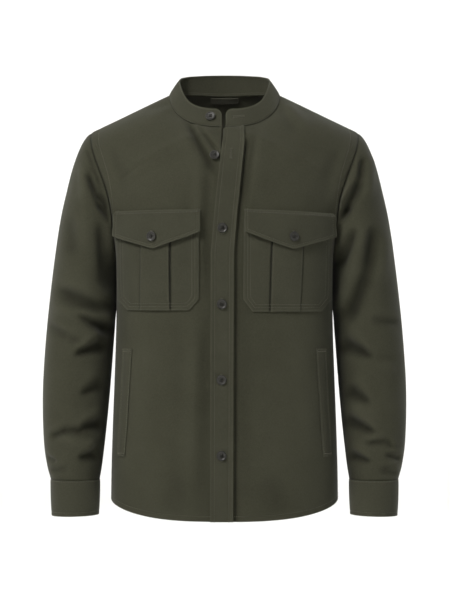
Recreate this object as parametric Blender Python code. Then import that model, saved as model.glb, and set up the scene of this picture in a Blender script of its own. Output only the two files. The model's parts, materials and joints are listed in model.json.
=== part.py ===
"""A shirt jacket in its worn, filled-out shape: band collar, button placket, two flapped chest
pockets with box pleats, two slanted side welts and buttoned cuffs.

The front faces -Y, +X is the wearer's left and +Z is up. The origin lies between the high points
of the shoulders, which are 3 mm above it. Tables are in millimetres and the meshes in metres.
Each cloth piece is a thin closed wall, made from a grid of points on its outer face and the same
grid moved inwards.
"""

import bpy
import numpy as np

MM = 0.001

# Cloth thicknesses and gaps, in millimetres.
PANEL_WALL = 1.5
COLLAR_WALL = 2.4
CUFF_WALL = 2.4
SEAM_GAP = 0.4
LAYER_GAP = 0.7
POCKET_GAP = 1.2

# Main sizes, in millimetres.
FRONT_OVERLAP = 2.7
PLACKET_WIDTH = 38.0
COLLAR_CORNER = 13.0
CUFF_OVERLAP = 18.0
CUFF_RADIUS = 40.0
BUTTON_RADIUS = 8.25
BUTTON_HEIGHT = 3.2
LOOP_WIDTH = 48.0
LOOP_HEIGHT = 10.0
LOOP_TOP = 4.2
LOOP_GAP = 1.0
LOOP_WALL = 1.4

# Grid sizes: steps along each panel below and above the underarm, and across it.
STEPS_BELOW = 12
STEPS_ABOVE = 12
STEPS_ACROSS = 11
PLACKET_STEPS = 2
BACK_CENTRE_WIDTH = 40.0
CUFF_COLUMNS = 26
BUTTON_SIDES = 14

# Steps along the collar band's front stretches, and shares of its first step that round its ends.
NECK_STATIONS = np.linspace(0, 1, STEPS_ABOVE // 2 + 1)
END_SHARES = (0, 0.1, 0.22, 0.36, 0.52)
BACK_NECK_FROM = STEPS_BELOW + 8

# Degrees round a cuff over which its upper end rises, how far that lies over the lower one, and
# how far each button stands off the face under it, in millimetres.
CUFF_RISE = (300, 352)
CUFF_LIFT = 0.8
CUFF_BUTTON_LIFT = 2.0
COLLAR_BUTTON_LIFT = 0.9
FRONT_BUTTON_LIFT = 0.7
COLLAR_HUMP = 1.2
COLLAR_END_SHIFT = 1.5

# A row ends at the armhole with this share of its depth still to go, at most.
MOST_REST = 0.6

# Points along a row from which its even steps are measured.
DENSE_STEPS = 200

# The highest level at which the placket's top is looked for on the front.
PLACKET_TOP_LEVEL = 1.75

# How far the placket's last rows lie further out, over the thick neck seam, in millimetres.
PLACKET_TOP_LIFT = (0.9, 2.2, 2.0)

CLOTH = (0.042, 0.046, 0.028, 1.0)
CLOTH_INSIDE = (0.034, 0.036, 0.023, 1.0)
HORN = (0.012, 0.013, 0.010, 1.0)
CLOTH_ROUGHNESS = 0.85
HORN_ROUGHNESS = 0.3

RIGHT = -1
LEFT = 1
SIDE_NAMES = {RIGHT: "right", LEFT: "left"}


def table(names, *rows):
    """A dictionary of named columns."""
    return dict(zip(names.split(), np.array(rows, float).T))


# The body below the underarm: level 0 is the hem and level 1 the underarm. Each row gives the
# height at the centre and at the side seam, the half width, the depth of the front and of the
# back at the centre, and how square the rounding is (2 is an ellipse).
BODY = table(
    "level centre_z side_z side_x front_y back_y square",
    (0.00, -714, -682, 193.5, -116, 108, 2.7),
    (0.17, -640, -622, 192.5, -115, 105, 2.7),
    (0.36, -556, -548, 190.0, -114, 102, 2.8),
    (0.55, -470, -470, 187.0, -115, 100, 2.9),
    (0.72, -394, -400, 184.6, -117, 101, 3.0),
    (0.86, -328, -340, 183.6, -119, 104, 3.1),
    (1.00, -262, -287, 183.8, -120, 107, 3.2),
)

# The centre line above the underarm, up to the neck seam.
FRONT_CENTRE = table(
    "level y z",
    (1.000, -120.0, -262),
    (1.125, -118.5, -212),
    (1.250, -113.5, -161),
    (1.375, -99.0, -108),
    (1.500, -70.0, -57),
)
BACK_CENTRE = table(
    "level y z",
    (1.000, 107, -262),
    (1.170, 109, -200),
    (1.330, 106, -138),
    (1.450, 96, -87),
    (1.560, 75, -40),
    (1.6667, 42, 5),
)

# The neck from centre front (station 0) over the shoulder point (1) to centre back (2): the
# seam of the collar band and the band's top edge.
NECK = table(
    "station base_x base_y base_z top_x top_y top_z",
    (0.0000, 0, -70, -57.0, 0, -56, -24.0),
    (0.1667, 25, -69, -56.0, 22, -55, -24.0),
    (0.3333, 48, -63, -52.0, 43, -50, -20.0),
    (0.5000, 68, -53, -43.0, 59, -40, -11.0),
    (0.6667, 83, -39, -29.5, 69, -26, 3.0),
    (0.8333, 91, -21, -13.0, 75, -11, 18.0),
    (1.0000, 93, 0, 3.0, 77, 3, 30.0),
    (1.2500, 73, 20, 5.0, 65, 21, 37.0),
    (1.5000, 50, 32, 6.0, 46, 30, 39.5),
    (1.7500, 26, 39, 5.5, 24, 35, 41.0),
    (2.0000, 0, 42, 5.0, 0, 37, 41.5),
)

# The armhole seam from the underarm (along 0) to the shoulder point (along 1).
FRONT_ARMHOLE = table(
    "along x y z",
    (0.00, 183.8, 0, -287),
    (0.09, 184.6, -25, -275),
    (0.18, 186.2, -43, -252),
    (0.27, 188.3, -54, -226),
    (0.36, 191.2, -59.5, -199),
    (0.46, 195.5, -60, -176),
    (0.55, 201.5, -58, -155),
    (0.64, 209.0, -54, -134),
    (0.73, 217.5, -46, -112),
    (0.82, 224.0, -35, -92),
    (0.91, 227.5, -19, -74),
    (1.00, 227.5, 0, -61),
)
BACK_ARMHOLE = table(
    "along x y z",
    (0.00, 183.8, 0, -287),
    (0.09, 185.0, 24, -277),
    (0.18, 187.0, 44, -256),
    (0.27, 190.0, 58, -228),
    (0.36, 193.5, 66, -196),
    (0.46, 197.0, 68, -163),
    (0.55, 201.5, 66, -133),
    (0.64, 207.5, 60, -107),
    (0.73, 214.0, 50, -86),
    (0.82, 220.5, 36, -72),
    (0.91, 225.4, 18, -63.5),
    (1.00, 227.5, 0, -61),
)

# How square the panels' rounding is above the underarm, and how far their crown stands out of the
# straight line between the centre and the armhole.
FRONT_FORM = table(
    "level square crown_y crown_z",
    (1.000, 3.2, 0, 0),
    (1.080, 3.1, 0, 0),
    (1.170, 3.0, 0, 0),
    (1.250, 2.9, 0, 0),
    (1.333, 2.8, 4, 1),
    (1.417, 2.7, 10, 3),
    (1.500, 2.6, 20, 6),
    (1.583, 2.5, 13, 11),
    (1.667, 2.4, 7, 15),
    (1.750, 2.3, 3, 18),
    (1.833, 2.2, 1, 15),
    (1.917, 2.0, 0, 7.5),
    (2.000, 2.0, 0, 0),
)
BACK_FORM = table(
    "level square crown_y crown_z",
    (1.000, 3.2, 0, 0),
    (1.080, 3.1, 0, 0),
    (1.170, 3.0, 0, 0),
    (1.250, 2.9, 0, 0),
    (1.333, 2.8, 0, 0),
    (1.417, 2.7, 3, 1),
    (1.500, 2.6, 8, 3),
    (1.583, 2.4, 13, 6),
    (1.667, 2.2, 15, 8),
    (1.750, 2.0, 10, 9),
    (1.833, 2.0, 4, 7),
    (1.917, 2.0, 1, 3),
    (2.000, 2.0, 0, 0),
)

# The placket's edge nearer the right front, and the edge of the right front under it.
PLACKET_EDGE = table(
    "z x", (-714, -24), (-270, -22.7), (-195, -16.5), (-120, -8.5), (-85, -4), (-57, 0.5)
)
RIGHT_EDGE = table(
    "z x", (-714, 12), (-255, 12), (-207, 8), (-155, 0), (-120, -4), (-90, -6), (-57, -5)
)

# Each sleeve as rings from the armhole to the cuff: the outer and the inner point of the ring
# seen from the front, its depth to the front and to the back, and the middle of its depth.
SLEEVE = table(
    "ring outer_x outer_z inner_x inner_z front back middle_y",
    (0, 227.5, -61, 183.8, -287, 60, 67, 0),
    (1, 238.0, -72, 185.2, -293, 63, 69, 0),
    (2, 248.0, -91, 184.9, -301, 66, 71, 0),
    (3, 259.0, -122, 184.8, -313, 69, 72, 0),
    (4, 269.0, -161, 184.8, -329, 70, 72, 0),
    (5, 280.0, -211, 185.4, -351, 69, 71, 0),
    (6, 290.0, -279, 186.4, -386, 66, 68, -1),
    (7, 298.0, -347, 188.9, -421, 63, 65, -3),
    (8, 304.5, -416, 191.9, -463, 60, 61, -6),
    (9, 308.5, -484, 195.4, -509, 57, 57, -11),
    (10, 308.6, -540, 199.2, -552, 54, 54, -17),
    (11, 305.8, -592, 203.8, -597, 50, 50, -24),
    (12, 300.2, -627, 207.6, -629, 45, 45, -29),
    (13, 293.7, -650, 211.0, -650, 38, 38, -32),
)
SLEEVE_RINGS = 28
CUFF = table(
    "ring outer_x outer_z inner_x inner_z front back middle_y",
    (0, 294.5, -650.5, 210.2, -650.5, 38.8, 38.8, -32),
    (1, 293.5, -680, 211.0, -680, 38.4, 38.4, -34),
    (2, 292.2, -711, 212.0, -709, 38.0, 38.0, -36),
)

# The largest folds. On a front or the back: both ends of the crease as x and z, its half width
# and its height, which is negative for a trough. x is measured towards the piece's own side.
FOLD_COLUMNS = "from_x from_z to_x to_z half height"
RIGHT_FOLDS = table(
    FOLD_COLUMNS,
    (30, -60, 16, -170, 11, -2.0),
    (56, -58, 22, -140, 12, 1.8),
    (34, -250, 38, -690, 12, -1.8),
    (206, -84, 178, -190, 13, 2.6),
    (196, -70, 160, -150, 12, -2.2),
    (130, -400, 150, -640, 26, 2.0),
    (60, -640, 95, -700, 22, -1.6),
)
LEFT_FOLDS = table(
    FOLD_COLUMNS,
    (92, -14, 118, -70, 12, -2.6),
    (104, -10, 140, -60, 12, 2.0),
    (206, -84, 178, -190, 13, 2.6),
    (196, -70, 160, -150, 12, -2.2),
    (34, -260, 30, -680, 14, -1.5),
    (125, -400, 150, -640, 26, 2.0),
    (70, -640, 100, -700, 22, -1.6),
)
BACK_FOLDS = table(
    FOLD_COLUMNS,
    (196, -120, 165, -330, 20, 3.0),
    (170, -110, 130, -300, 22, -2.5),
    (60, -360, 110, -650, 30, 2.5),
    (-60, -380, -120, -640, 30, 2.5),
    (10, -400, -20, -690, 28, -2.5),
    (-196, -120, -160, -340, 20, 3.0),
    (-168, -110, -135, -280, 22, -2.5),
)

# Folds on the front and on the back of each sleeve, in the same columns.
SLEEVE_FRONT_FOLDS = {
    RIGHT: table(
        FOLD_COLUMNS,
        (234, -84, 203, -147, 14, -3.5),
        (241, -95, 197, -185, 15, 3.5),
        (236, -130, 200, -210, 15, -4.0),
        (246, -110, 240, -190, 15, 2.5),
        (281, -333, 196, -366, 15, -4.5),
        (286, -358, 198, -388, 15, 4.0),
        (254, -386, 194, -402, 14, -3.0),
        (264, -415, 200, -412, 14, 3.0),
        (262, -440, 198, -428, 15, -3.5),
        (240, -492, 206, -510, 15, -3.0),
        (300, -545, 232, -547, 15, 3.0),
        (296, -570, 222, -577, 15, -4.5),
        (292, -600, 226, -602, 15, 3.5),
        (246, -616, 218, -622, 13, -3.0),
    ),
    LEFT: table(
        FOLD_COLUMNS,
        (222, -92, 192, -166, 14, -3.5),
        (238, -98, 200, -190, 15, 3.5),
        (238, -135, 200, -216, 15, -4.0),
        (242, -306, 204, -382, 17, -5.0),
        (266, -326, 212, -404, 16, 4.0),
        (258, -444, 206, -423, 15, -3.5),
        (266, -468, 210, -452, 15, 3.0),
        (254, -520, 212, -500, 15, -3.0),
        (262, -576, 216, -553, 15, -3.5),
        (294, -572, 240, -580, 14, 3.0),
        (288, -597, 226, -584, 15, -4.0),
        (294, -622, 260, -616, 13, 3.0),
        (250, -622, 218, -610, 13, -3.0),
    ),
}
SLEEVE_BACK_FOLDS = table(
    FOLD_COLUMNS,
    (236, -110, 202, -205, 15, -3.0),
    (250, -132, 204, -240, 16, 3.5),
    (282, -366, 204, -398, 16, -4.0),
    (286, -394, 204, -424, 16, 4.0),
    (286, -440, 208, -454, 15, -3.5),
    (290, -520, 220, -536, 15, 3.0),
    (292, -560, 224, -566, 15, -3.5),
    (290, -600, 228, -606, 14, 3.0),
)

# Chest pockets and flaps, as x towards the piece's own side and z on its front. A pocket narrows
# at its cut lower corners. Its pleat runs from pleat_in to pleat_out.
POCKET_COLUMNS = "z inner outer pleat_in pleat_out"
POCKETS = {
    RIGHT: table(
        POCKET_COLUMNS,
        (-213, 42.5, 180.5, 92, 136),
        (-290, 42.5, 179.5, 92, 137),
        (-346, 42.5, 178.5, 91.5, 138),
        (-364, 59.0, 161, 91.5, 138.5),
    ),
    LEFT: table(
        POCKET_COLUMNS,
        (-213, 32.0, 180.5, 82, 130),
        (-290, 31.5, 179.5, 79, 127),
        (-346, 31.0, 178.5, 77.5, 124.5),
        (-366, 46.5, 161, 77, 124),
    ),
}
FLAP_COLUMNS = "x top bottom"
FLAPS = {
    RIGHT: table(
        FLAP_COLUMNS,
        (40.0, -197.0, -234.0),
        (60.0, -197.3, -242.0),
        (90.0, -197.8, -252.5),
        (116.5, -198.0, -262.5),
        (145.0, -198.3, -253.5),
        (165.0, -198.3, -246.0),
        (181.0, -198.0, -238.5),
    ),
    LEFT: table(
        FLAP_COLUMNS,
        (33.0, -196.7, -234.0),
        (60.0, -197.6, -244.0),
        (88.0, -198.6, -255.0),
        (112.5, -199.5, -263.5),
        (140.0, -200.5, -255.0),
        (163.0, -201.5, -247.5),
        (181.0, -202.0, -240.0),
    ),
}
FLAP_WALL = 2.0
POCKET_WALL = 1.4
PLEAT_HEIGHT = 2.4
PLEAT_STEP = 1.2
POCKET_CORNER_Z = -355.0
FLAP_RISE = POCKET_GAP + POCKET_WALL + PLEAT_HEIGHT + 0.4

# Side welts: x of both long edges at each height.
WELT_COLUMNS = "z inner outer"
WELTS = {
    RIGHT: table(WELT_COLUMNS, (-428, 153.0, 169.5), (-609, 164.5, 178.5)),
    LEFT: table(WELT_COLUMNS, (-428, 152.0, 169.5), (-609, 163.5, 178.5)),
}
WELT_WALL = 1.4

# Button centres on the fronts, as x (wearer's left is plus) and z.
PLACKET_BUTTONS = ((-3.5, -228.0), (-4.5, -353.5), (-5.0, -479.0), (-5.0, -604.5))
UNDONE_BUTTON = (-16.6, -108.0)
FLAP_BUTTONS = {RIGHT: (-118.0, -242.0), LEFT: (112.5, -242.5)}
CUFF_BUTTON_ANGLE = 280.0


def smooth(knots, values, at):
    """A cubic curve through the values, with each slope taken from the neighbouring knots."""
    slopes = np.gradient(values, knots)
    at = np.clip(np.asarray(at, float), knots[0], knots[-1])
    i = np.clip(np.searchsorted(knots, at, side="right") - 1, 0, len(knots) - 2)
    span = knots[i + 1] - knots[i]
    t = (at - knots[i]) / span
    rise = values[i + 1] - values[i]
    start = slopes[i] * span
    end = slopes[i + 1] * span
    return values[i] + t * (start + t * (3 * rise - 2 * start - end + t * (start + end - 2 * rise)))


def read(rows, key, column, at):
    return smooth(rows[key], rows[column], at)


def straight(rows, key, column, at):
    """Straight lines between rows, whichever way the key runs."""
    order = np.argsort(rows[key])
    return np.interp(at, rows[key][order], rows[column][order])


def unit(vectors):
    return vectors / np.maximum(np.linalg.norm(vectors, axis=-1, keepdims=True), 1e-9)


class Half:
    """The measurements of one half of the front or of the back."""

    def __init__(self, centre, armhole, form, depth, neck_level, neck_stations):
        self.centre = centre
        self.armhole = armhole
        self.form = form
        self.depth = depth
        self.neck_level = neck_level
        self.neck_stations = neck_stations

    def inner_edge(self, level):
        """The centre line, and above the neck level the neck seam up to the shoulder point."""
        below = level <= 1
        along = (level - self.neck_level) / (2 - self.neck_level)
        start, end = self.neck_stations
        station = start + np.clip(along, 0, 1) * (end - start)
        on_neck = level > self.neck_level
        x = np.where(on_neck, read(NECK, "station", "base_x", station), 0)
        y = np.where(
            below,
            read(BODY, "level", self.depth, level),
            read(self.centre, "level", "y", level),
        )
        y = np.where(on_neck, read(NECK, "station", "base_y", station), y)
        z = np.where(
            below,
            read(BODY, "level", "centre_z", level),
            read(self.centre, "level", "z", level),
        )
        z = np.where(on_neck, read(NECK, "station", "base_z", station), z)
        return x, y, z

    def outer_edge(self, level):
        """The side seam, and above the underarm the armhole seam."""
        below = level <= 1
        along = np.clip(level - 1, 0, 1)
        x = np.where(
            below,
            read(BODY, "level", "side_x", level),
            read(self.armhole, "along", "x", along),
        )
        y = np.where(below, 0, read(self.armhole, "along", "y", along))
        z = np.where(
            below,
            read(BODY, "level", "side_z", level),
            read(self.armhole, "along", "z", along),
        )
        return x, y, z

    def point(self, level, across):
        """Points at a level and a share of the way from the centre (0) to the side (1)."""
        level = np.asarray(level, float)
        across = np.asarray(across, float)
        x0, y0, z0 = self.inner_edge(level)
        x1, y1, z1 = self.outer_edge(level)
        below = level <= 1
        square = np.where(
            below,
            read(BODY, "level", "square", level),
            read(self.form, "level", "square", level),
        )
        share = np.minimum(np.abs(across), 1)
        rest = np.minimum(np.abs(y1) / np.maximum(np.abs(y0), 1), MOST_REST)
        rest = np.where(level < 1.6, rest, MOST_REST)
        turn = (1 - rest**square) ** (1 / square)
        bend = (1 - (1 - (turn * share) ** square) ** (1 / square)) / (1 - rest)
        arched = 0.5 * share**3 + 0.5 * bend
        arch = np.interp(level, (1, 1.25, 1.5, 1.6), (1, 0.6, 0.2, 0))
        lift = arch * arched + (1 - arch) * share
        hump = 4 * share * (1 - share)
        crown_y = np.where(below, 0, read(self.form, "level", "crown_y", level)) * hump
        crown_z = np.where(below, 0, read(self.form, "level", "crown_z", level)) * hump
        x = x0 + (x1 - x0) * across
        y = y0 + (y1 - y0) * bend + np.sign(y0) * crown_y
        z = z0 + (z1 - z0) * lift + crown_z
        return np.stack([x, y, z], -1)

    def normal(self, level, across):
        """The direction out of the cloth."""
        step = 0.004
        low = np.clip(level - step, 0, 2)
        high = np.clip(level + step, 0, 2)
        near = np.clip(across - step, -0.5, 0.999)
        far = np.clip(across + step, -0.5, 0.999)
        up = self.point(high, across) - self.point(low, across)
        out = self.point(level, far) - self.point(level, near)
        direction = unit(np.cross(out, up))
        return direction if self.depth == "front_y" else -direction

    def find(self, x, z, top_level):
        """The level and share of the point of the panel at a given x and z, below top_level."""
        low = np.zeros_like(np.asarray(x, float))
        high = np.full_like(low, top_level)
        for _ in range(30):
            level = (low + high) / 2
            x0 = self.inner_edge(level)[0]
            x1 = self.outer_edge(level)[0]
            across = np.clip((x - x0) / (x1 - x0), -0.3, 1)
            above = self.point(level, across)[..., 2] > z
            high = np.where(above, level, high)
            low = np.where(above, low, level)
        return level, across


FRONT = Half(FRONT_CENTRE, FRONT_ARMHOLE, FRONT_FORM, "front_y", 1.5, (0, 1))
BACK = Half(BACK_CENTRE, BACK_ARMHOLE, BACK_FORM, "back_y", 1.6667, (2, 1))


def fold_height(folds, across, along):
    """How far the folds lift the cloth at the given places."""
    names = list(folds)
    total = np.zeros_like(across, dtype=float)
    for values in zip(*(folds[name] for name in names)):
        from_a, from_b, to_a, to_b, half, height = values
        run = np.array([to_a - from_a, to_b - from_b])
        length = run @ run
        share = ((across - from_a) * run[0] + (along - from_b) * run[1]) / length
        t = np.clip(share, 0, 1)
        away = np.hypot(across - from_a - t * run[0], along - from_b - t * run[1])
        fade = np.clip(np.minimum(share + 0.15, 1.15 - share) / 0.4, 0, 1)
        fade = fade * fade * (3 - 2 * fade)
        total = total + height * fade * np.exp(-((away / half) ** 2))
    return total


def step_between(low, high, at):
    t = np.clip((at - low) / (high - low), 0, 1)
    return t * t * (3 - 2 * t)


def material(name, colour, roughness):
    """The piece's own Principled material."""
    made = bpy.data.materials.new(name)
    made.use_nodes = True
    shader = made.node_tree.nodes["Principled BSDF"]
    shader.inputs["Base Color"].default_value = colour
    shader.inputs["Roughness"].default_value = roughness
    return made


def add_object(name, points, faces, colour, roughness):
    """A mesh object from points in millimetres, with its faces turned outwards."""
    mesh = bpy.data.meshes.new(name)
    mesh.from_pydata([tuple(p * MM) for p in points], [], faces)
    mesh.validate()
    mesh.materials.append(material(name, colour, roughness))
    mesh.shade_smooth()
    mesh.set_sharp_from_angle(angle=np.radians(50))
    obj = bpy.data.objects.new(name, mesh)
    bpy.context.scene.collection.objects.link(obj)
    return obj


def wall(name, outer, inner, round_piece=False, colour=CLOTH):
    """A closed cloth wall between two grids. A round piece joins its last column to its first."""
    rows, columns = outer.shape[:2]
    points = np.concatenate([outer.reshape(-1, 3), inner.reshape(-1, 3)])
    behind = rows * columns
    last = columns if round_piece else columns - 1
    faces = []
    for i in range(rows - 1):
        for j in range(last):
            k = (j + 1) % columns
            a, b, c, d = i * columns + j, i * columns + k, (i + 1) * columns + k, (i + 1) * columns + j
            faces += [(a, b, c), (a, c, d)]
            faces += [(behind + a, behind + c, behind + b), (behind + a, behind + d, behind + c)]
    edges = [(j, (j + 1) % columns) for j in range(last)]
    top = (rows - 1) * columns
    edges += [(top + (j + 1) % columns, top + j) for j in range(last)]
    if not round_piece:
        edges += [((i + 1) * columns, i * columns) for i in range(rows - 1)]
        edges += [(i * columns + columns - 1, (i + 1) * columns + columns - 1) for i in range(rows - 1)]
    for a, b in edges:
        faces += [(b, a, behind + a), (b, behind + a, behind + b)]
    volume = sum(np.dot(points[a], np.cross(points[b], points[c])) for a, b, c in faces)
    if volume < 0:
        faces = [face[::-1] for face in faces]
    return add_object(name, points, faces, colour, CLOTH_ROUGHNESS)


def mirrored(points, side):
    return points * np.array([side, 1, 1])


def panel_levels():
    above = 1 + np.arange(1, STEPS_ABOVE + 1) / STEPS_ABOVE
    return np.concatenate([np.linspace(0, 1, STEPS_BELOW + 1), above])


def even_columns(half, levels, starts, first_stop, first_steps, steps):
    """Shares across each row. The first few columns lie within first_stop millimetres of the edge."""
    shares = []
    for level, start in zip(levels, starts):
        dense = start + (1 - start) * np.sin(np.linspace(0, np.pi / 2, DENSE_STEPS)) ** 0.8
        run = half.point(np.full_like(dense, level), dense)
        length = np.concatenate([[0], np.cumsum(np.linalg.norm(np.diff(run, axis=0), axis=1))])
        near = np.linspace(0, min(first_stop, length[-1] / 3), first_steps + 1)
        far = np.linspace(near[-1], length[-1], steps - first_steps + 1)[1:]
        shares.append(np.interp(np.concatenate([near, far]), length, dense))
    return np.array(shares)


def seam_directions(levels, directions):
    """Directions out of the cloth, kept from leaning over the seams that a panel shares."""
    directions = directions.copy()
    ridge = levels >= 2 - 1e-6
    directions[ridge, :, 1] = 0
    side = levels <= 1 + 1e-6
    directions[side, -1, 1] = 0
    directions[~side, -1, 0] = np.maximum(directions[~side, -1, 0], 0)
    return unit(directions)


def seam_fade(level, across):
    """Takes the folds to nothing at the shoulder seam, the armhole and the side seam."""
    return step_between(0, 0.1, 2 - level) * (1 - np.clip(across, 0, 1) ** 24)


def front_surface(side, level, across):
    """Outer points of a front, with its folds, and the directions out of it (in own +x)."""
    points = FRONT.point(level, across)
    directions = FRONT.normal(level, across)
    folds = RIGHT_FOLDS if side == RIGHT else LEFT_FOLDS
    fold = fold_height(folds, points[..., 0], points[..., 2]) * seam_fade(level, across)
    points = points + directions * fold[..., None]
    if side == LEFT:
        points[..., 1] -= overlap_shift(points[..., 0])
    return points, directions


def overlap_shift(x):
    """How far the left front stands forward, to lie over the right one."""
    return FRONT_OVERLAP * (1 - step_between(22, 80, x))


def front_edge(side, level):
    """Share across of the front edge of a front at each level."""
    z = FRONT.inner_edge(level)[2]
    rows = RIGHT_EDGE if side == RIGHT else PLACKET_EDGE
    x = straight(rows, "z", "x", z) * side
    return np.where(level > FRONT.neck_level + 1e-6, 0, x / FRONT.outer_edge(level)[0])


def make_front(side):
    levels = panel_levels()
    across = even_columns(
        FRONT, levels, front_edge(side, levels), PLACKET_WIDTH, PLACKET_STEPS, STEPS_ACROSS + 1
    )
    level = np.repeat(levels[:, None], across.shape[1], 1)
    points, directions = front_surface(side, level, across)
    directions = seam_directions(levels, directions)
    points[..., 1] -= SEAM_GAP / 2
    outer = mirrored(points, side)
    directions = mirrored(directions, side)
    wall("front_" + SIDE_NAMES[side], outer, outer - directions * PANEL_WALL)
    return outer, directions, levels


def make_placket(outer, directions, levels):
    """The strip over the first columns of the left front. Its top runs along the neck seam."""
    rows = levels <= FRONT.neck_level + 1e-6
    base = outer[rows, : PLACKET_STEPS + 1]
    out = directions[rows, : PLACKET_STEPS + 1]
    top = base[-1].copy()
    x = top[:, 0]
    station = np.interp(x, NECK["base_x"][:7], NECK["station"][:7])
    top[:, 1] = read(NECK, "station", "base_y", station) - overlap_shift(x) - SEAM_GAP / 2
    top[:, 2] = read(NECK, "station", "base_z", station) - SEAM_GAP
    level, across = FRONT.find(x, (base[-1, :, 2] + top[:, 2]) / 2, PLACKET_TOP_LEVEL)
    middle = front_surface(LEFT, level, across)[0]
    middle[:, 1] -= SEAM_GAP / 2
    base = np.concatenate([base, middle[None], top[None]])
    out = np.concatenate([out, out[-1:], out[-1:]])
    below, corner = base[-4, 0], base[-1, 0].copy()
    base[-3, 0] = below + (corner - below) / 3
    base[-2, 0] = below + (corner - below) * 2 / 3
    base[-3:] += out[-3:] * np.array(PLACKET_TOP_LIFT)[:, None, None]
    wall("placket", base + out * (LAYER_GAP + PANEL_WALL), base + out * LAYER_GAP)


def make_back():
    """Both halves of the back, joined down the centre line below the neck."""
    levels = panel_levels()
    starts = np.zeros_like(levels)
    across = even_columns(BACK, levels, starts, BACK_CENTRE_WIDTH, PLACKET_STEPS, STEPS_ACROSS)
    level = np.repeat(levels[:, None], across.shape[1], 1)
    points = BACK.point(level, across)
    directions = seam_directions(levels, BACK.normal(level, across))
    sheets = []
    for side in (RIGHT, LEFT):
        fold = fold_height(BACK_FOLDS, points[..., 0] * side, points[..., 2])
        fold = fold * seam_fade(level, across)
        outer = mirrored(points + directions * fold[..., None], side)
        outer[..., 1] += SEAM_GAP / 2
        out = mirrored(directions, side)
        sheets.append((outer, outer - out * PANEL_WALL))
    join_halves("back", sheets, int(np.sum(levels <= BACK.neck_level + 1e-3)))
    return points


def join_halves(name, sheets, joined_rows):
    """A closed wall from two half grids that share their first column in the lower rows."""
    rows, columns = sheets[0][0].shape[:2]
    points = []
    index = np.zeros((2, 2, rows, columns), int)
    for half, (outer, inner) in enumerate(sheets):
        for face, grid in enumerate((outer, inner)):
            for i in range(rows):
                for j in range(columns):
                    if half == 1 and j == 0 and i < joined_rows:
                        index[half, face, i, j] = index[0, face, i, j]
                        continue
                    index[half, face, i, j] = len(points)
                    points.append(grid[i, j])
    faces = []
    for half in (0, 1):
        turn = -1 if half else 1
        front, rear = index[half]
        for i in range(rows - 1):
            for j in range(columns - 1):
                a, b, c, d = front[i, j], front[i, j + 1], front[i + 1, j + 1], front[i + 1, j]
                faces += [(a, b, c)[::turn], (a, c, d)[::turn]]
                a, b, c, d = rear[i, j], rear[i, j + 1], rear[i + 1, j + 1], rear[i + 1, j]
                faces += [(a, c, b)[::turn], (a, d, c)[::turn]]
        rim = [((0, j), (0, j + 1)) for j in range(columns - 1)]
        rim += [((i, columns - 1), (i + 1, columns - 1)) for i in range(rows - 1)]
        rim += [((rows - 1, j + 1), (rows - 1, j)) for j in range(columns - 1)]
        rim += [((i + 1, 0), (i, 0)) for i in range(joined_rows - 1, rows - 1)]
        for start, end in rim:
            a, b = front[start], front[end]
            c, d = rear[start], rear[end]
            faces += [(b, a, c)[::turn], (b, c, d)[::turn]]
    points = np.array(points)
    volume = sum(np.dot(points[a], np.cross(points[b], points[c])) for a, b, c in faces)
    if volume < 0:
        faces = [face[::-1] for face in faces]
    add_object(name, points, faces, CLOTH, CLOTH_ROUGHNESS)


def ring_point(rows, ring, angle):
    """Points round a sleeve or cuff. The angle is 0 at the outer side and 90 at the front."""
    turn = np.radians(angle)
    outer = np.stack([read(rows, "ring", "outer_x", ring), read(rows, "ring", "outer_z", ring)], -1)
    inner = np.stack([read(rows, "ring", "inner_x", ring), read(rows, "ring", "inner_z", ring)], -1)
    flat = (outer + inner) / 2 + (outer - inner) / 2 * np.cos(turn)[..., None]
    front = read(rows, "ring", "front", ring)
    back = read(rows, "ring", "back", ring)
    depth = np.where(np.sin(turn) > 0, front, back)
    y = read(rows, "ring", "middle_y", ring) - depth * np.sin(turn)
    return np.stack([flat[..., 0], y, flat[..., 1]], -1)


def armhole_loop():
    """The armhole's seam points round the sleeve, from the shoulder down the front and up the back."""
    along = np.arange(STEPS_ABOVE, 0, -1) / STEPS_ABOVE
    front = np.stack(FRONT.outer_edge(1 + along), -1)
    front[..., 1] -= np.where(along < 1, SEAM_GAP / 2, 0)
    along = np.arange(0, STEPS_ABOVE) / STEPS_ABOVE
    back = np.stack(BACK.outer_edge(1 + along), -1)
    back[..., 1] += np.where(along > 0, SEAM_GAP / 2, 0)
    return np.concatenate([front, back])


def sleeve_surface(ring, angle):
    """Points of a sleeve at +x. It leaves the armhole seam along the seam's own loop."""
    points = ring_point(SLEEVE, ring, angle)
    loop = armhole_loop()
    count = len(loop)
    loop_angle = np.arange(count + 1) * 360 / count
    closed = np.concatenate([loop, loop[:1]])
    seam = np.stack([np.interp(angle, loop_angle, closed[:, k]) for k in range(3)], -1)
    start = ring_point(SLEEVE, np.zeros_like(ring), angle)
    share = (1 - step_between(0, 3, ring))[..., None]
    return points + (seam - start) * share


def grid_directions(points, round_piece):
    """Directions square to a grid of points, from its neighbours."""
    if round_piece:
        along = np.roll(points, -1, 1) - np.roll(points, 1, 1)
    else:
        along = np.gradient(points, axis=1)
    down = np.gradient(points, axis=0)
    return unit(np.cross(along, down))


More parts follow.
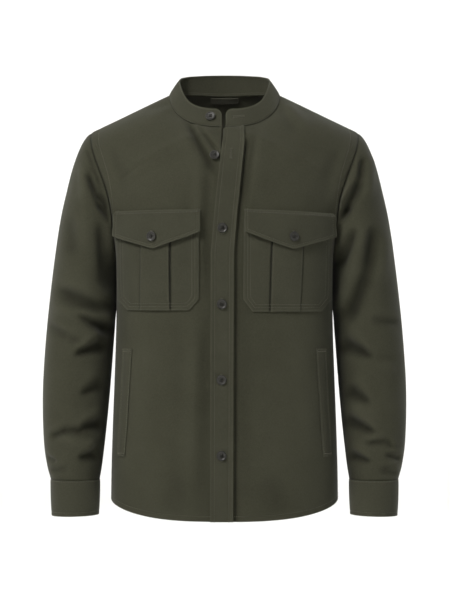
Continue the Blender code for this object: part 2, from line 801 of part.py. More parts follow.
def make_sleeve(side):
    count = 2 * STEPS_ABOVE
    rings = np.concatenate([[0, 0.5], np.linspace(1, SLEEVE["ring"][-1], SLEEVE_RINGS - 1)])
    ring, angle = np.meshgrid(rings, np.arange(count) * 360 / count, indexing="ij")
    points = sleeve_surface(ring, angle)
    out = grid_directions(points, True)
    middle = points.mean(axis=1, keepdims=True)
    out = out * np.sign(np.sum(out * (points - middle), -1).mean())
    facing = np.sin(np.radians(angle))
    fold = fold_height(SLEEVE_FRONT_FOLDS[side], points[..., 0], points[..., 2])
    fold = fold * step_between(0.1, 0.5, facing)
    behind = fold_height(SLEEVE_BACK_FOLDS, points[..., 0], points[..., 2])
    fold = fold + behind * step_between(0.1, 0.5, -facing)
    fold = fold * step_between(0, 0.7, ring) * (1 - step_between(12.4, 13, ring))
    points = points + out * fold[..., None]
    points[..., 0] += SEAM_GAP
    folded = grid_directions(points, True)
    out = folded * np.sign(np.sum(out * folded))
    out[0, :, 0] = np.minimum(out[0, :, 0], 0)
    out = unit(out)
    outer = mirrored(points, side)
    inner = outer - mirrored(out, side) * PANEL_WALL
    wall("sleeve_" + SIDE_NAMES[side], outer, inner, round_piece=True)


def make_cuff(side):
    """A strip round the wrist whose upper end lies over its lower end, at the back."""
    overlap = np.degrees(CUFF_OVERLAP / CUFF_RADIUS)
    start = CUFF_BUTTON_ANGLE - overlap / 2
    angles = np.linspace(start, start + 360 + overlap, CUFF_COLUMNS)
    rings = np.linspace(0, CUFF["ring"][-1], 3)
    ring, angle = np.meshgrid(rings, angles, indexing="ij")
    points = ring_point(CUFF, ring, np.mod(angle, 360))
    middle = (ring_point(CUFF, ring, 0 * angle) + ring_point(CUFF, ring, 0 * angle + 180)) / 2
    out = points - middle
    out[..., 2] = 0
    out = unit(out)
    raised = step_between(*CUFF_RISE, angle - start) * (CUFF_WALL + CUFF_LIFT)
    points = points + out * raised[..., None]
    points[..., 0] += SEAM_GAP
    outer = mirrored(points, side)
    out = mirrored(out, side)
    wall("cuff_" + SIDE_NAMES[side], outer, outer - out * CUFF_WALL)
    seat = ring_point(CUFF, np.array(1.0), np.array(CUFF_BUTTON_ANGLE))
    direction = unit(seat - middle[1, 0])
    seat = seat + direction * (CUFF_WALL + CUFF_BUTTON_LIFT)
    seat[0] += SEAM_GAP
    make_button("button_cuff_" + SIDE_NAMES[side], mirrored(seat, side), mirrored(direction, side))


def make_collar(right, left, back):
    """The band round the neck, from the right front's end to the left front's end."""
    count = len(NECK_STATIONS)
    right_base = right[-count:, 0]
    left_base = left[-count:, 0]
    back_base = back[BACK_NECK_FROM:-1, 0]
    ends = []
    for base, side in ((right_base, RIGHT), (left_base, LEFT)):
        first = base[0] + (base[1] - base[0]) * np.array(END_SHARES)[:, None]
        first[:, 0] += COLLAR_END_SHIFT * (1 - np.array(END_SHARES)) * (side == LEFT)
        stations = np.array(END_SHARES) * NECK_STATIONS[1]
        top = np.stack([read(NECK, "station", "top_" + k, stations) for k in "xyz"], -1)
        top[:, 0] = top[:, 0] * side + first[0, 0] * (1 - np.array(END_SHARES))
        rest = np.stack([read(NECK, "station", "top_" + k, NECK_STATIONS[1:]) for k in "xyz"], -1)
        rest[:, 0] *= side
        ends.append((np.concatenate([first, base[1:]]), np.concatenate([top, rest])))
    stations = np.linspace(2, 1, len(back_base) + 1)[:-1]
    back_top = np.stack([read(NECK, "station", "top_" + k, stations) for k in "xyz"], -1)
    back_left = mirrored(back_base, LEFT)
    back_right = mirrored(back_base, RIGHT)
    base = np.concatenate([ends[0][0], back_right[:0:-1], back_left, ends[1][0][::-1]])
    top_right = mirrored(back_top, RIGHT)
    top = np.concatenate([ends[0][1], top_right[:0:-1], back_top, ends[1][1][::-1]])
    run = np.concatenate([[0], np.cumsum(np.linalg.norm(np.diff(base, axis=0), axis=1))])
    from_end = np.minimum(run, run[-1] - run)
    height = np.linalg.norm(top - base, axis=1)
    short = np.maximum(COLLAR_CORNER - from_end, 0)
    drop = COLLAR_CORNER - np.sqrt(COLLAR_CORNER**2 - short**2)
    share = 1 - drop / height
    rise = np.linspace(0, 1, 4)[:, None, None]
    hump = COLLAR_HUMP * np.sin(np.pi * rise)
    lift = SEAM_GAP * (top - base) / height[:, None]
    points = base + lift + (top - base) * share[:, None] * rise
    out = grid_directions(points, False)
    away = points.copy()
    away[..., 2] = 0
    out = out * np.sign(np.sum(out * away))
    points = points + out * hump
    wall("collar_band", points, points - out * COLLAR_WALL)
    return points, out


def on_front(side, x, z, out):
    """Points over a front at own x and z, moved out of the cloth."""
    level, across = FRONT.find(x, z, FRONT.neck_level)
    points, directions = front_surface(side, level, across)
    points[..., 1] -= SEAM_GAP / 2
    return mirrored(points + directions * np.asarray(out)[..., None], side), mirrored(directions, side)


def make_pocket(side):
    """A patch with cut lower corners. Its box pleat is a raised strip with steep sides."""
    rows = POCKETS[side]
    heights = np.concatenate([np.linspace(rows["z"][0], rows["z"][2], 7), [POCKET_CORNER_Z, rows["z"][-1]]])
    middle = np.array([0, 0.5, 1])
    x, z, lift = [], [], []
    for height in heights:
        inner, outer, fold_in, fold_out = (
            straight(rows, "z", name, height) for name in ("inner", "outer", "pleat_in", "pleat_out")
        )
        left = np.linspace(inner, fold_in - PLEAT_STEP, 4)
        pleat = fold_in + (fold_out - fold_in) * middle
        right = np.linspace(fold_out + PLEAT_STEP, outer, 6)
        x.append(np.concatenate([left, pleat, right]))
        z.append(np.full(len(left) + len(pleat) + len(right), height))
        lift.append(np.concatenate([left * 0, pleat * 0 + PLEAT_HEIGHT, right * 0]))
    x, z, lift = np.array(x), np.array(z), np.array(lift)
    inner, _ = on_front(side, x, z, np.full_like(x, POCKET_GAP))
    outer, _ = on_front(side, x, z, POCKET_GAP + POCKET_WALL + lift)
    wall("pocket_" + SIDE_NAMES[side], outer, inner)


def make_flap(side):
    """A pointed flap, which lies over the top of the pocket."""
    rows = FLAPS[side]
    x = np.interp(np.linspace(0, 1, 13), np.linspace(0, 1, 7), rows["x"])
    top = straight(rows, "x", "top", x)
    bottom = straight(rows, "x", "bottom", x)
    share = np.array([0, 0.15, 0.45, 0.75, 1])[:, None]
    z = top + (bottom - top) * share
    x = np.repeat(x[None], len(share), 0)
    over = LAYER_GAP + FLAP_RISE * step_between(0, 0.15, share + 0 * x)
    inner, _ = on_front(side, x, z, over)
    outer, _ = on_front(side, x, z, over + FLAP_WALL)
    wall("flap_" + SIDE_NAMES[side], outer, inner)


def make_welt(side):
    """The raised edge of a slanted hand pocket."""
    rows = WELTS[side]
    z = np.linspace(rows["z"][0], rows["z"][-1], 8)
    inner_x = straight(rows, "z", "inner", z)
    outer_x = straight(rows, "z", "outer", z)
    x = inner_x[:, None] + (outer_x - inner_x)[:, None] * np.linspace(0, 1, 4)
    z = np.repeat(z[:, None], 4, 1)
    inner, _ = on_front(side, x, z, np.full_like(x, LAYER_GAP))
    outer, _ = on_front(side, x, z, np.full_like(x, LAYER_GAP + WELT_WALL))
    wall("welt_" + SIDE_NAMES[side], outer, inner)


def make_hanger_loop():
    """A short tape across the inside of the back, just under the neck seam."""
    x = np.linspace(-LOOP_WIDTH / 2, LOOP_WIDTH / 2, 7)
    depth = np.array([0.0, 0.5, 1.0])[:, None]
    z = LOOP_TOP - LOOP_HEIGHT * depth + 0 * x
    x = np.repeat(x[None], 3, 0)
    rows = NECK["station"] >= 1
    station = np.interp(np.abs(x), NECK["base_x"][rows][::-1], NECK["station"][rows][::-1])
    highest = BACK.neck_level + (2 - station) * (2 - BACK.neck_level)
    level, across = BACK.find(np.abs(x), z, highest)
    points = BACK.point(level, across)
    out = BACK.normal(level, across)
    sign = np.where(x < 0, -1, 1)
    points[..., 0] *= sign
    out[..., 0] *= sign
    near = points - out * (PANEL_WALL + LOOP_GAP)
    wall("hanger_loop", near, near - out * LOOP_WALL, colour=CLOTH_INSIDE)


def make_button(name, seat, direction):
    """A turned button with a raised rim, its flat back on the seat point."""
    profile = (
        (BUTTON_RADIUS * 0.80, 0.0),
        (BUTTON_RADIUS, BUTTON_HEIGHT * 0.45),
        (BUTTON_RADIUS * 0.96, BUTTON_HEIGHT * 0.9),
        (BUTTON_RADIUS * 0.86, BUTTON_HEIGHT),
        (BUTTON_RADIUS * 0.66, BUTTON_HEIGHT * 0.78),
    )
    count = BUTTON_SIDES
    direction = unit(np.asarray(direction, float))
    side = unit(np.cross(direction, (0, 0, 1.0)))
    up = np.cross(side, direction)
    points = []
    for radius, height in profile:
        for k in range(count):
            turn = 2 * np.pi * k / count
            points.append(seat + direction * height + radius * (side * np.cos(turn) + up * np.sin(turn)))
    faces = [tuple(range(count))[::-1]]
    for ring in range(len(profile) - 1):
        for k in range(count):
            a, b = ring * count + k, ring * count + (k + 1) % count
            faces.append((a, b, b + count, a + count))
    top = (len(profile) - 1) * count
    faces.append(tuple(top + k for k in range(count)))
    points = np.array(points)
    first = faces[1]
    mid = points[list(first)].mean(axis=0) - seat
    normal = np.cross(points[first[1]] - points[first[0]], points[first[2]] - points[first[0]])
    if np.dot(normal, mid) < 0:
        faces = [face[::-1] for face in faces]
    add_object(name, points, faces, HORN, HORN_ROUGHNESS)


def make_buttons(collar, collar_out):
    column = len(END_SHARES)
    seat = (collar[1, column] + collar[2, column]) / 2
    direction = (collar_out[1, column] + collar_out[2, column]) / 2
    make_button("button_collar", seat + unit(direction) * COLLAR_BUTTON_LIFT, direction)
    x, z = UNDONE_BUTTON
    seat, direction = on_front(RIGHT, np.array(-x), np.array(z), np.array(COLLAR_BUTTON_LIFT))
    make_button("button_front_1", seat, direction)
    over = LAYER_GAP + PANEL_WALL + FRONT_BUTTON_LIFT
    for number, (x, z) in enumerate(PLACKET_BUTTONS, 2):
        seat, direction = on_front(LEFT, np.array(x), np.array(z), np.array(over))
        make_button(f"button_front_{number}", seat, direction)
    over = LAYER_GAP + FLAP_RISE + FLAP_WALL + FRONT_BUTTON_LIFT
    for side, (x, z) in FLAP_BUTTONS.items():
        seat, direction = on_front(side, np.array(x * side), np.array(z), np.array(over))
        make_button("button_flap_" + SIDE_NAMES[side], seat, direction)


def main():
    for obj in list(bpy.data.objects):
        bpy.data.objects.remove(obj, do_unlink=True)
    right, _, _ = make_front(RIGHT)
    left, left_out, levels = make_front(LEFT)
    make_placket(left, left_out, levels)
    back = make_back()
    collar, collar_out = make_collar(right, left, back)
    make_hanger_loop()
    for side in (RIGHT, LEFT):
        make_sleeve(side)
        make_cuff(side)
        make_pocket(side)
        make_flap(side)
        make_welt(side)
    make_buttons(collar, collar_out)


main()
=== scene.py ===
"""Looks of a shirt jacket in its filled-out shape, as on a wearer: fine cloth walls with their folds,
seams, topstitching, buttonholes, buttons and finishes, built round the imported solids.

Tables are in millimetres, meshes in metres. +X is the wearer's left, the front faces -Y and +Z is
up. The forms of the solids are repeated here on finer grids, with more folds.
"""

import json

import bmesh
import bpy
import numpy as np
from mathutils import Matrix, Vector

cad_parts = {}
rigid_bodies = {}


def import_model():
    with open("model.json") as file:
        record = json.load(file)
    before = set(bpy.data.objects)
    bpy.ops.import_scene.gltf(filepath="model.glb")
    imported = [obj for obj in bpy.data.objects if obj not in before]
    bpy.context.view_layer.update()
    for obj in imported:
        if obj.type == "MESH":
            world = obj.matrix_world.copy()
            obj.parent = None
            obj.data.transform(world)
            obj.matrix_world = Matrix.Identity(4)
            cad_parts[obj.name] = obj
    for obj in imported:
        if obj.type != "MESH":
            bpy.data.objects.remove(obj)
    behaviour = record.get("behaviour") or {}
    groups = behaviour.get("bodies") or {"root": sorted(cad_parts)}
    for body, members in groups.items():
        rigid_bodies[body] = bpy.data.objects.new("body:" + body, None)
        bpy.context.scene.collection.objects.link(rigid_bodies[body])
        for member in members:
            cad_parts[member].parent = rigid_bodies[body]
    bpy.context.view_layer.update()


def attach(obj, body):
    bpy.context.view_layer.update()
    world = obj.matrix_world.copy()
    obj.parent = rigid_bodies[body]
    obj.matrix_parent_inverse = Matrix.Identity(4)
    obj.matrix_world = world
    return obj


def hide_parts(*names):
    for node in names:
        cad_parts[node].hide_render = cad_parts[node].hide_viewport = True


bl_info = {
    "name": "Shirt jacket",
    "version": (1, 0, 0),
    "blender": (4, 5, 0),
    "location": "3D View > Sidebar > Jacket",
    "description": "Dresses a shirt jacket's solids in fine cloth, stitching and buttons",
    "category": "Object",
}

for start_object in list(bpy.data.objects):
    bpy.data.objects.remove(start_object, do_unlink=True)
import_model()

MM = 0.001
RIGHT = -1
LEFT = 1
SIDE_NAMES = {RIGHT: "right", LEFT: "left"}

# Cloth thicknesses, gaps and main sizes, in millimetres, as in the solids.
PANEL_WALL = 1.5
COLLAR_WALL = 2.4
CUFF_WALL = 2.4
SEAM_GAP = 0.4
LAYER_GAP = 0.7
POCKET_GAP = 1.2
FRONT_OVERLAP = 2.7
PLACKET_WIDTH = 38.0
COLLAR_CORNER = 13.0
CUFF_OVERLAP = 18.0
CUFF_RADIUS = 40.0
LOOP_WIDTH = 48.0
LOOP_HEIGHT = 10.0
LOOP_TOP = 4.2
FLAP_WALL = 2.0
POCKET_WALL = 1.4
PLEAT_HEIGHT = 2.4
PLEAT_STEP = 1.2
FLAP_RISE = POCKET_GAP + POCKET_WALL + PLEAT_HEIGHT + 0.4
WELT_WALL = 1.4
MOST_REST = 0.6

# How far a piece reaches past a seam that the solids leave open, in millimetres.
SEAM_REACH = 0.6
# How deep the cloth rolls into a seam, and over what distance.
SEAM_DEPTH = 1.0
SEAM_HALF = 1.8
# The gutter that the placket's outer edge presses into the front: its depth at the neck and lower
# down, its half width, its distance from the edge, the levels between which it deepens and those
# between which it runs out at the neck, and how much painted shade darkens it.
GUTTER_DEPTH = (4.2, 1.8)
GUTTER_HALF = 4.6
GUTTER_AWAY = 2.6
GUTTER_DEEPENS = (1.1, 1.4)
GUTTER_ENDS = (1.45, 1.5)
GUTTER_SHADE = 0.8
# How far the placket's long edges stand above its middle, and over what distance.
PLACKET_RIM = 0.9
PLACKET_RIM_HALF = 3.0
# The placket follows the front's rows up to the first level. From there it runs to the neck seam,
# which is looked for below the second.
PLACKET_LEVELS = (1.46, 1.75)
# How far a flap's pointed edge stands out further than in the solid.
FLAP_SPRING = 1.8
# How far the upper sleeves press into the body's side.
PRESSED = 2.0
# How far the collar band's lower edge stands over the fronts, and over what height.
COLLAR_STEP = 1.4
COLLAR_STEP_HALF = 12.0
# The slot beside the inner fold of a pocket's pleat: its distance from the fold, half width, depth.
SLOT_AWAY = 2.2
SLOT_HALF = 1.6
SLOT_DEPTH = 1.2
# How many times deeper the sleeves' folds are than their tables say.
SLEEVE_DEPTH = 1.5
# The painted shade of a fold's trough and the painted highlight of its ridge for each millimetre of
# its height, and the heights beyond which they stay even.
SHADE = 0.1
SHADE_HEIGHTS = (-8.0, 4.0)
# How much painted shade darkens the side of a sleeve that faces the body.
BODY_SIDE_SHADE = 0.6
# Fine ripples beside the armhole, where the sleeve is eased in.
RIPPLE_DEPTH = 0.5
RIPPLE_PITCH = 3.6

# Distances of the sewn rows from an edge, in millimetres, and the dent that a row pulls in.
EDGE_ROW = 1.8
INNER_ROW = 7.5
HEM_ROW = 9.0
ARMHOLE_ROW = 7.0
ARMHOLE_WIDER = 9.0
SHOULDER_ROW = 4.0
PLACKET_ROW = 7.0
FLAP_ROW = 5.0
POCKET_ROWS = (6.5, 11.5)
DENT_DEPTH = 0.45
DENT_HALF = 1.3


def table(names, *rows):
    """A dictionary of named columns."""
    return dict(zip(names.split(), np.array(rows, float).T))


# The body below the underarm: level 0 is the hem and level 1 the underarm. Each row gives the
# height at the centre and at the side seam, the half width, the depth of the front and of the
# back at the centre, and how square the rounding is (2 is an ellipse).
BODY = table(
    "level centre_z side_z side_x front_y back_y square",
    (0.00, -714, -682, 193.5, -116, 108, 2.7),
    (0.17, -640, -622, 192.5, -115, 105, 2.7),
    (0.36, -556, -548, 190.0, -114, 102, 2.8),
    (0.55, -470, -470, 187.0, -115, 100, 2.9),
    (0.72, -394, -400, 184.6, -117, 101, 3.0),
    (0.86, -328, -340, 183.6, -119, 104, 3.1),
    (1.00, -262, -287, 183.8, -120, 107, 3.2),
)

# The centre line above the underarm, up to the neck seam.
FRONT_CENTRE = table(
    "level y z",
    (1.000, -120.0, -262),
    (1.125, -118.5, -212),
    (1.250, -113.5, -161),
    (1.375, -99.0, -108),
    (1.500, -70.0, -57),
)
BACK_CENTRE = table(
    "level y z",
    (1.000, 107, -262),
    (1.170, 109, -200),
    (1.330, 106, -138),
    (1.450, 96, -87),
    (1.560, 75, -40),
    (1.6667, 42, 5),
)

# The neck from centre front (station 0) over the shoulder point (1) to centre back (2): the
# seam of the collar band and the band's top edge.
NECK = table(
    "station base_x base_y base_z top_x top_y top_z",
    (0.0000, 0, -70, -57.0, 0, -56, -24.0),
    (0.1667, 25, -69, -56.0, 22, -55, -24.0),
    (0.3333, 48, -63, -52.0, 43, -50, -20.0),
    (0.5000, 68, -53, -43.0, 59, -40, -11.0),
    (0.6667, 83, -39, -29.5, 69, -26, 3.0),
    (0.8333, 91, -21, -13.0, 75, -11, 18.0),
    (1.0000, 93, 0, 3.0, 77, 3, 30.0),
    (1.2500, 73, 20, 5.0, 65, 21, 37.0),
    (1.5000, 50, 32, 6.0, 46, 30, 39.5),
    (1.7500, 26, 39, 5.5, 24, 35, 41.0),
    (2.0000, 0, 42, 5.0, 0, 37, 41.5),
)

# The armhole seam from the underarm (along 0) to the shoulder point (along 1).
FRONT_ARMHOLE = table(
    "along x y z",
    (0.00, 183.8, 0, -287),
    (0.09, 184.6, -25, -275),
    (0.18, 186.2, -43, -252),
    (0.27, 188.3, -54, -226),
    (0.36, 191.2, -59.5, -199),
    (0.46, 195.5, -60, -176),
    (0.55, 201.5, -58, -155),
    (0.64, 209.0, -54, -134),
    (0.73, 217.5, -46, -112),
    (0.82, 224.0, -35, -92),
    (0.91, 227.5, -19, -74),
    (1.00, 227.5, 0, -61),
)
BACK_ARMHOLE = table(
    "along x y z",
    (0.00, 183.8, 0, -287),
    (0.09, 185.0, 24, -277),
    (0.18, 187.0, 44, -256),
    (0.27, 190.0, 58, -228),
    (0.36, 193.5, 66, -196),
    (0.46, 197.0, 68, -163),
    (0.55, 201.5, 66, -133),
    (0.64, 207.5, 60, -107),
    (0.73, 214.0, 50, -86),
    (0.82, 220.5, 36, -72),
    (0.91, 225.4, 18, -63.5),
    (1.00, 227.5, 0, -61),
)

# How square the panels' rounding is above the underarm, and how far their crown stands out of the
# straight line between the centre and the armhole.
FRONT_FORM = table(
    "level square crown_y crown_z",
    (1.000, 3.2, 0, 0),
    (1.080, 3.1, 0, 0),
    (1.170, 3.0, 0, 0),
    (1.250, 2.9, 0, 0),
    (1.333, 2.8, 4, 1),
    (1.417, 2.7, 10, 3),
    (1.500, 2.6, 20, 6),
    (1.583, 2.5, 13, 11),
    (1.667, 2.4, 7, 15),
    (1.750, 2.3, 3, 18),
    (1.833, 2.2, 1, 15),
    (1.917, 2.0, 0, 7.5),
    (2.000, 2.0, 0, 0),
)
BACK_FORM = table(
    "level square crown_y crown_z",
    (1.000, 3.2, 0, 0),
    (1.080, 3.1, 0, 0),
    (1.170, 3.0, 0, 0),
    (1.250, 2.9, 0, 0),
    (1.333, 2.8, 0, 0),
    (1.417, 2.7, 3, 1),
    (1.500, 2.6, 8, 3),
    (1.583, 2.4, 13, 6),
    (1.667, 2.2, 15, 8),
    (1.750, 2.0, 10, 9),
    (1.833, 2.0, 4, 7),
    (1.917, 2.0, 1, 3),
    (2.000, 2.0, 0, 0),
)

# The placket's edge nearer the right front, and the edge of the right front under it.
PLACKET_EDGE = table(
    "z x", (-714, -24), (-270, -22.7), (-195, -16.5), (-120, -8.5), (-85, -4), (-57, 0.5)
)
RIGHT_EDGE = table(
    "z x", (-714, 12), (-255, 12), (-207, 8), (-155, 0), (-120, -4), (-90, -6), (-57, -5)
)

# Each sleeve as rings from the armhole to the cuff: the outer and the inner point of the ring
# seen from the front, its depth to the front and to the back, and the middle of its depth.
SLEEVE = table(
    "ring outer_x outer_z inner_x inner_z front back middle_y",
    (0, 227.5, -61, 183.8, -287, 60, 67, 0),
    (1, 238.0, -72, 185.2, -293, 63, 69, 0),
    (2, 248.0, -91, 184.9, -301, 66, 71, 0),
    (3, 259.0, -122, 184.8, -313, 69, 72, 0),
    (4, 269.0, -161, 184.8, -329, 70, 72, 0),
    (5, 280.0, -211, 185.4, -351, 69, 71, 0),
    (6, 290.0, -279, 186.4, -386, 66, 68, -1),
    (7, 298.0, -347, 188.9, -421, 63, 65, -3),
    (8, 304.5, -416, 191.9, -463, 60, 61, -6),
    (9, 308.5, -484, 195.4, -509, 57, 57, -11),
    (10, 308.6, -540, 199.2, -552, 54, 54, -17),
    (11, 305.8, -592, 203.8, -597, 50, 50, -24),
    (12, 300.2, -627, 207.6, -629, 45, 45, -29),
    (13, 293.7, -650, 211.0, -650, 38, 38, -32),
)
CUFF = table(
    "ring outer_x outer_z inner_x inner_z front back middle_y",
    (0, 294.5, -650.5, 210.2, -650.5, 38.8, 38.8, -32),
    (1, 293.5, -680, 211.0, -680, 38.4, 38.4, -34),
    (2, 292.2, -711, 212.0, -709, 38.0, 38.0, -36),
)

# The folds. On a front or the back: both ends of the crease as x and z, its half width at each end
# and its height, which is negative for a trough. x is measured towards the piece's own side.
FOLD_COLUMNS = "from_x from_z to_x to_z from_half to_half height"
RIGHT_FOLDS = table(
    FOLD_COLUMNS,
    (59, -52, 15, -134, 6, 8, -5.6),
    (49, -56, 13, -118, 4, 6, 2.2),
    (41, -60, 12, -102, 4, 6, -4.0),
    (29, -120, 30, -345, 8, 9, -2.6),
    (44, -150, 46, -330, 9, 11, 1.2),
    (78, -48, 40, -140, 10, 14, 1.6),
    (31, -380, 38, -690, 9, 12, -2.2),
    (52, -340, 58, -660, 12, 16, 1.2),
    (86, -20, 128, -40, 5, 10, 1.2),
    (206, -96, 180, -190, 9, 12, 1.6),
    (188, -96, 160, -150, 8, 14, -0.8),
    (170, -330, 176, -420, 12, 20, -1.4),
    (130, -400, 150, -640, 26, 26, 2.0),
    (60, -640, 95, -700, 22, 22, -1.6),
    (165, -640, 186, -520, 16, 10, 1.4),
)
LEFT_FOLDS = table(
    FOLD_COLUMNS,
    (92, -14, 118, -70, 8, 13, -1.5),
    (104, -10, 140, -60, 8, 13, 1.6),
    (206, -96, 180, -190, 9, 12, 1.6),
    (188, -96, 160, -150, 8, 14, -0.8),
    (50, -70, 34, -190, 7, 8, -2.0),
    (62, -64, 50, -180, 8, 12, 1.6),
    (34, -260, 30, -680, 14, 14, -1.5),
    (125, -400, 150, -640, 26, 26, 2.0),
    (168, -330, 178, -430, 12, 20, -1.4),
    (70, -640, 100, -700, 22, 22, -1.6),
    (168, -650, 186, -520, 16, 10, 1.3),
)
BACK_FOLDS = table(
    FOLD_COLUMNS,
    (196, -120, 165, -330, 11, 18, 4.0),
    (172, -110, 134, -300, 11, 18, -4.0),
    (64, -330, 112, -660, 20, 30, 3.0),
    (84, -300, 60, -680, 20, 26, -2.4),
    (-60, -340, -118, -650, 20, 30, 3.0),
    (-88, -320, -66, -670, 20, 26, -2.4),
    (6, -340, -14, -700, 20, 28, -2.2),
    (-196, -120, -160, -340, 11, 18, 4.0),
    (-170, -110, -137, -280, 11, 18, -4.0),
    (176, -150, 92, -196, 8, 15, -2.0),
    (-172, -142, -84, -186, 8, 15, -2.0),
    (40, -60, 30, -190, 10, 16, 1.2),
    (-36, -55, -34, -180, 10, 16, 1.0),
    (182, -360, 120, -420, 8, 14, -3.2),
    (-182, -350, -110, -410, 8, 14, -3.4),
    (176, -440, 90, -500, 9, 16, -2.4),
    (-178, -450, -100, -520, 9, 15, -2.6),
    (180, -400, 116, -452, 8, 13, 2.0),
)

# Folds on the front and on the back of each sleeve, in the same columns.
SLEEVE_FRONT_FOLDS = {
    RIGHT: table(
        FOLD_COLUMNS,
        (231, -93, 220, -121, 4, 4, -2.0),
        (220, -121, 193, -195, 4, 5, -3.0),
        (230, -136, 215, -168, 5, 6, -4.0),
        (215, -168, 190, -199, 6, 7, -5.5),
        (215, -184, 189, -212, 4, 7, -4.5),
        (240, -119, 233, -186, 7, 10, 3.0),
        (208, -222, 198, -330, 8, 12, -3.5),
        (262, -210, 254, -270, 13, 13, -2.2),
        (280, -331, 198, -366, 11, 13, -4.5),
        (247, -373, 192, -400, 5, 12, -6.5),
        (286, -362, 214, -386, 9, 9, 2.5),
        (297, -390, 262, -410, 7, 9, -2.4),
        (262, -410, 236, -420, 8, 9, -2.0),
        (250, -438, 200, -423, 5, 14, -6.0),
        (240, -505, 206, -490, 6, 13, -3.8),
        (241, -561, 206, -555, 6, 12, -5.0),
        (291, -577, 262, -564, 5, 7, -3.8),
        (262, -564, 236, -568, 6, 6, -3.0),
        (276, -580, 220, -592, 8, 9, 2.5),
        (243, -612, 214, -606, 6, 11, -4.5),
        (299, -612, 282, -618, 5, 5, -2.0),
        (292, -636, 262, -628, 5, 7, -1.8),
    ),
    LEFT: table(
        FOLD_COLUMNS,
        (214, -112, 196, -160, 4, 5, -2.6),
        (209, -156, 190, -192, 5, 6, 3.2),
        (234, -108, 229, -144, 6, 8, -3.6),
        (229, -144, 198, -206, 8, 8, -5.4),
        (210, -190, 190, -216, 5, 7, -4.0),
        (248, -104, 242, -176, 8, 10, 2.6),
        (218, -229, 194, -291, 8, 9, -4.4),
        (250, -226, 240, -300, 10, 13, -4.6),
        (240, -300, 206, -380, 13, 12, -6.0),
        (274, -236, 262, -318, 10, 13, 2.6),
        (297, -386, 250, -380, 7, 8, -2.4),
        (247, -442, 200, -420, 5, 14, -6.0),
        (286, -462, 252, -458, 8, 8, 2.0),
        (243, -519, 206, -498, 5, 14, -4.4),
        (251, -569, 205, -548, 5, 12, -5.4),
        (238, -588, 272, -583, 5, 5, -3.2),
        (272, -583, 283, -597, 5, 4, -2.6),
        (270, -606, 297, -614, 4, 6, -2.8),
        (243, -618, 211, -608, 4, 10, -4.6),
        (290, -640, 262, -630, 5, 7, -1.8),
    ),
}
SLEEVE_BACK_FOLDS = {
    RIGHT: table(
        FOLD_COLUMNS,
        (236, -110, 202, -205, 7, 12, -4.0),
        (250, -132, 204, -240, 9, 13, 3.5),
        (222, -170, 194, -250, 6, 9, -3.6),
        (268, -230, 252, -310, 12, 14, -2.4),
        (282, -366, 204, -398, 9, 12, -5.0),
        (252, -388, 206, -424, 8, 11, 3.5),
        (286, -440, 208, -454, 7, 13, -4.2),
        (262, -500, 214, -486, 6, 11, -3.0),
        (290, -560, 224, -552, 7, 11, -4.4),
        (292, -606, 224, -602, 6, 9, -3.4),
    ),
    LEFT: table(
        FOLD_COLUMNS,
        (232, -112, 200, -210, 7, 12, -4.2),
        (248, -128, 204, -232, 9, 13, 3.2),
        (270, -250, 248, -330, 12, 13, -2.6),
        (284, -372, 206, -410, 9, 12, -4.8),
        (256, -398, 210, -436, 8, 11, 3.4),
        (288, -452, 214, -446, 7, 13, -4.0),
        (254, -520, 214, -500, 6, 11, -3.4),
        (292, -566, 226, -570, 7, 11, -4.0),
        (262, -612, 220, -604, 6, 10, -3.6),
    ),
}
# How much of a crease's height rises again as a lip along its upper edge.
LIP_SHARE = 0.42

# Chest pockets and flaps, as x towards the piece's own side and z on its front. A pocket narrows
# at its cut lower corners. Its pleat runs from pleat_in to pleat_out.
POCKET_COLUMNS = "z inner outer pleat_in pleat_out"
POCKETS = {
    RIGHT: table(
        POCKET_COLUMNS,
        (-213, 42.5, 180.5, 92, 136),
        (-290, 42.5, 179.5, 92, 137),
        (-346, 42.5, 178.5, 91.5, 138),
        (-364, 59.0, 161, 91.5, 138.5),
    ),
    LEFT: table(
        POCKET_COLUMNS,
        (-213, 32.0, 180.5, 82, 130),
        (-290, 31.5, 179.5, 79, 127),
        (-346, 31.0, 178.5, 77.5, 124.5),
        (-366, 46.5, 161, 77, 124),
    ),
}
FLAP_COLUMNS = "x top bottom"
FLAPS = {
    RIGHT: table(
        FLAP_COLUMNS,
        (40.0, -197.0, -234.0),
        (60.0, -197.3, -242.0),
        (90.0, -197.8, -252.5),
        (116.5, -198.0, -262.5),
        (145.0, -198.3, -253.5),
        (165.0, -198.3, -246.0),
        (181.0, -198.0, -238.5),
    ),
    LEFT: table(
        FLAP_COLUMNS,
        (33.0, -196.7, -234.0),
        (60.0, -197.6, -244.0),
        (88.0, -198.6, -255.0),
        (112.5, -199.5, -263.5),
        (140.0, -200.5, -255.0),
        (163.0, -201.5, -247.5),
        (181.0, -202.0, -240.0),
    ),
}

# Side welts: x of both long edges at each height.
WELT_COLUMNS = "z inner outer"
WELTS = {
    RIGHT: table(WELT_COLUMNS, (-428, 153.0, 169.5), (-609, 164.5, 178.5)),
    LEFT: table(WELT_COLUMNS, (-428, 152.0, 169.5), (-609, 163.5, 178.5)),
}

# Button centres on the fronts, as x (wearer's left is plus) and z.
PLACKET_BUTTONS = ((-3.5, -228.0), (-4.5, -353.5), (-5.0, -479.0), (-5.0, -604.5))
UNDONE_BUTTON = (-16.6, -108.0)
UNDONE_BUTTONHOLE = (10.8, -104.5)
FLAP_BUTTONS = {RIGHT: (-118.0, -242.0), LEFT: (112.5, -242.5)}
CUFF_BUTTON_ANGLE = 280.0


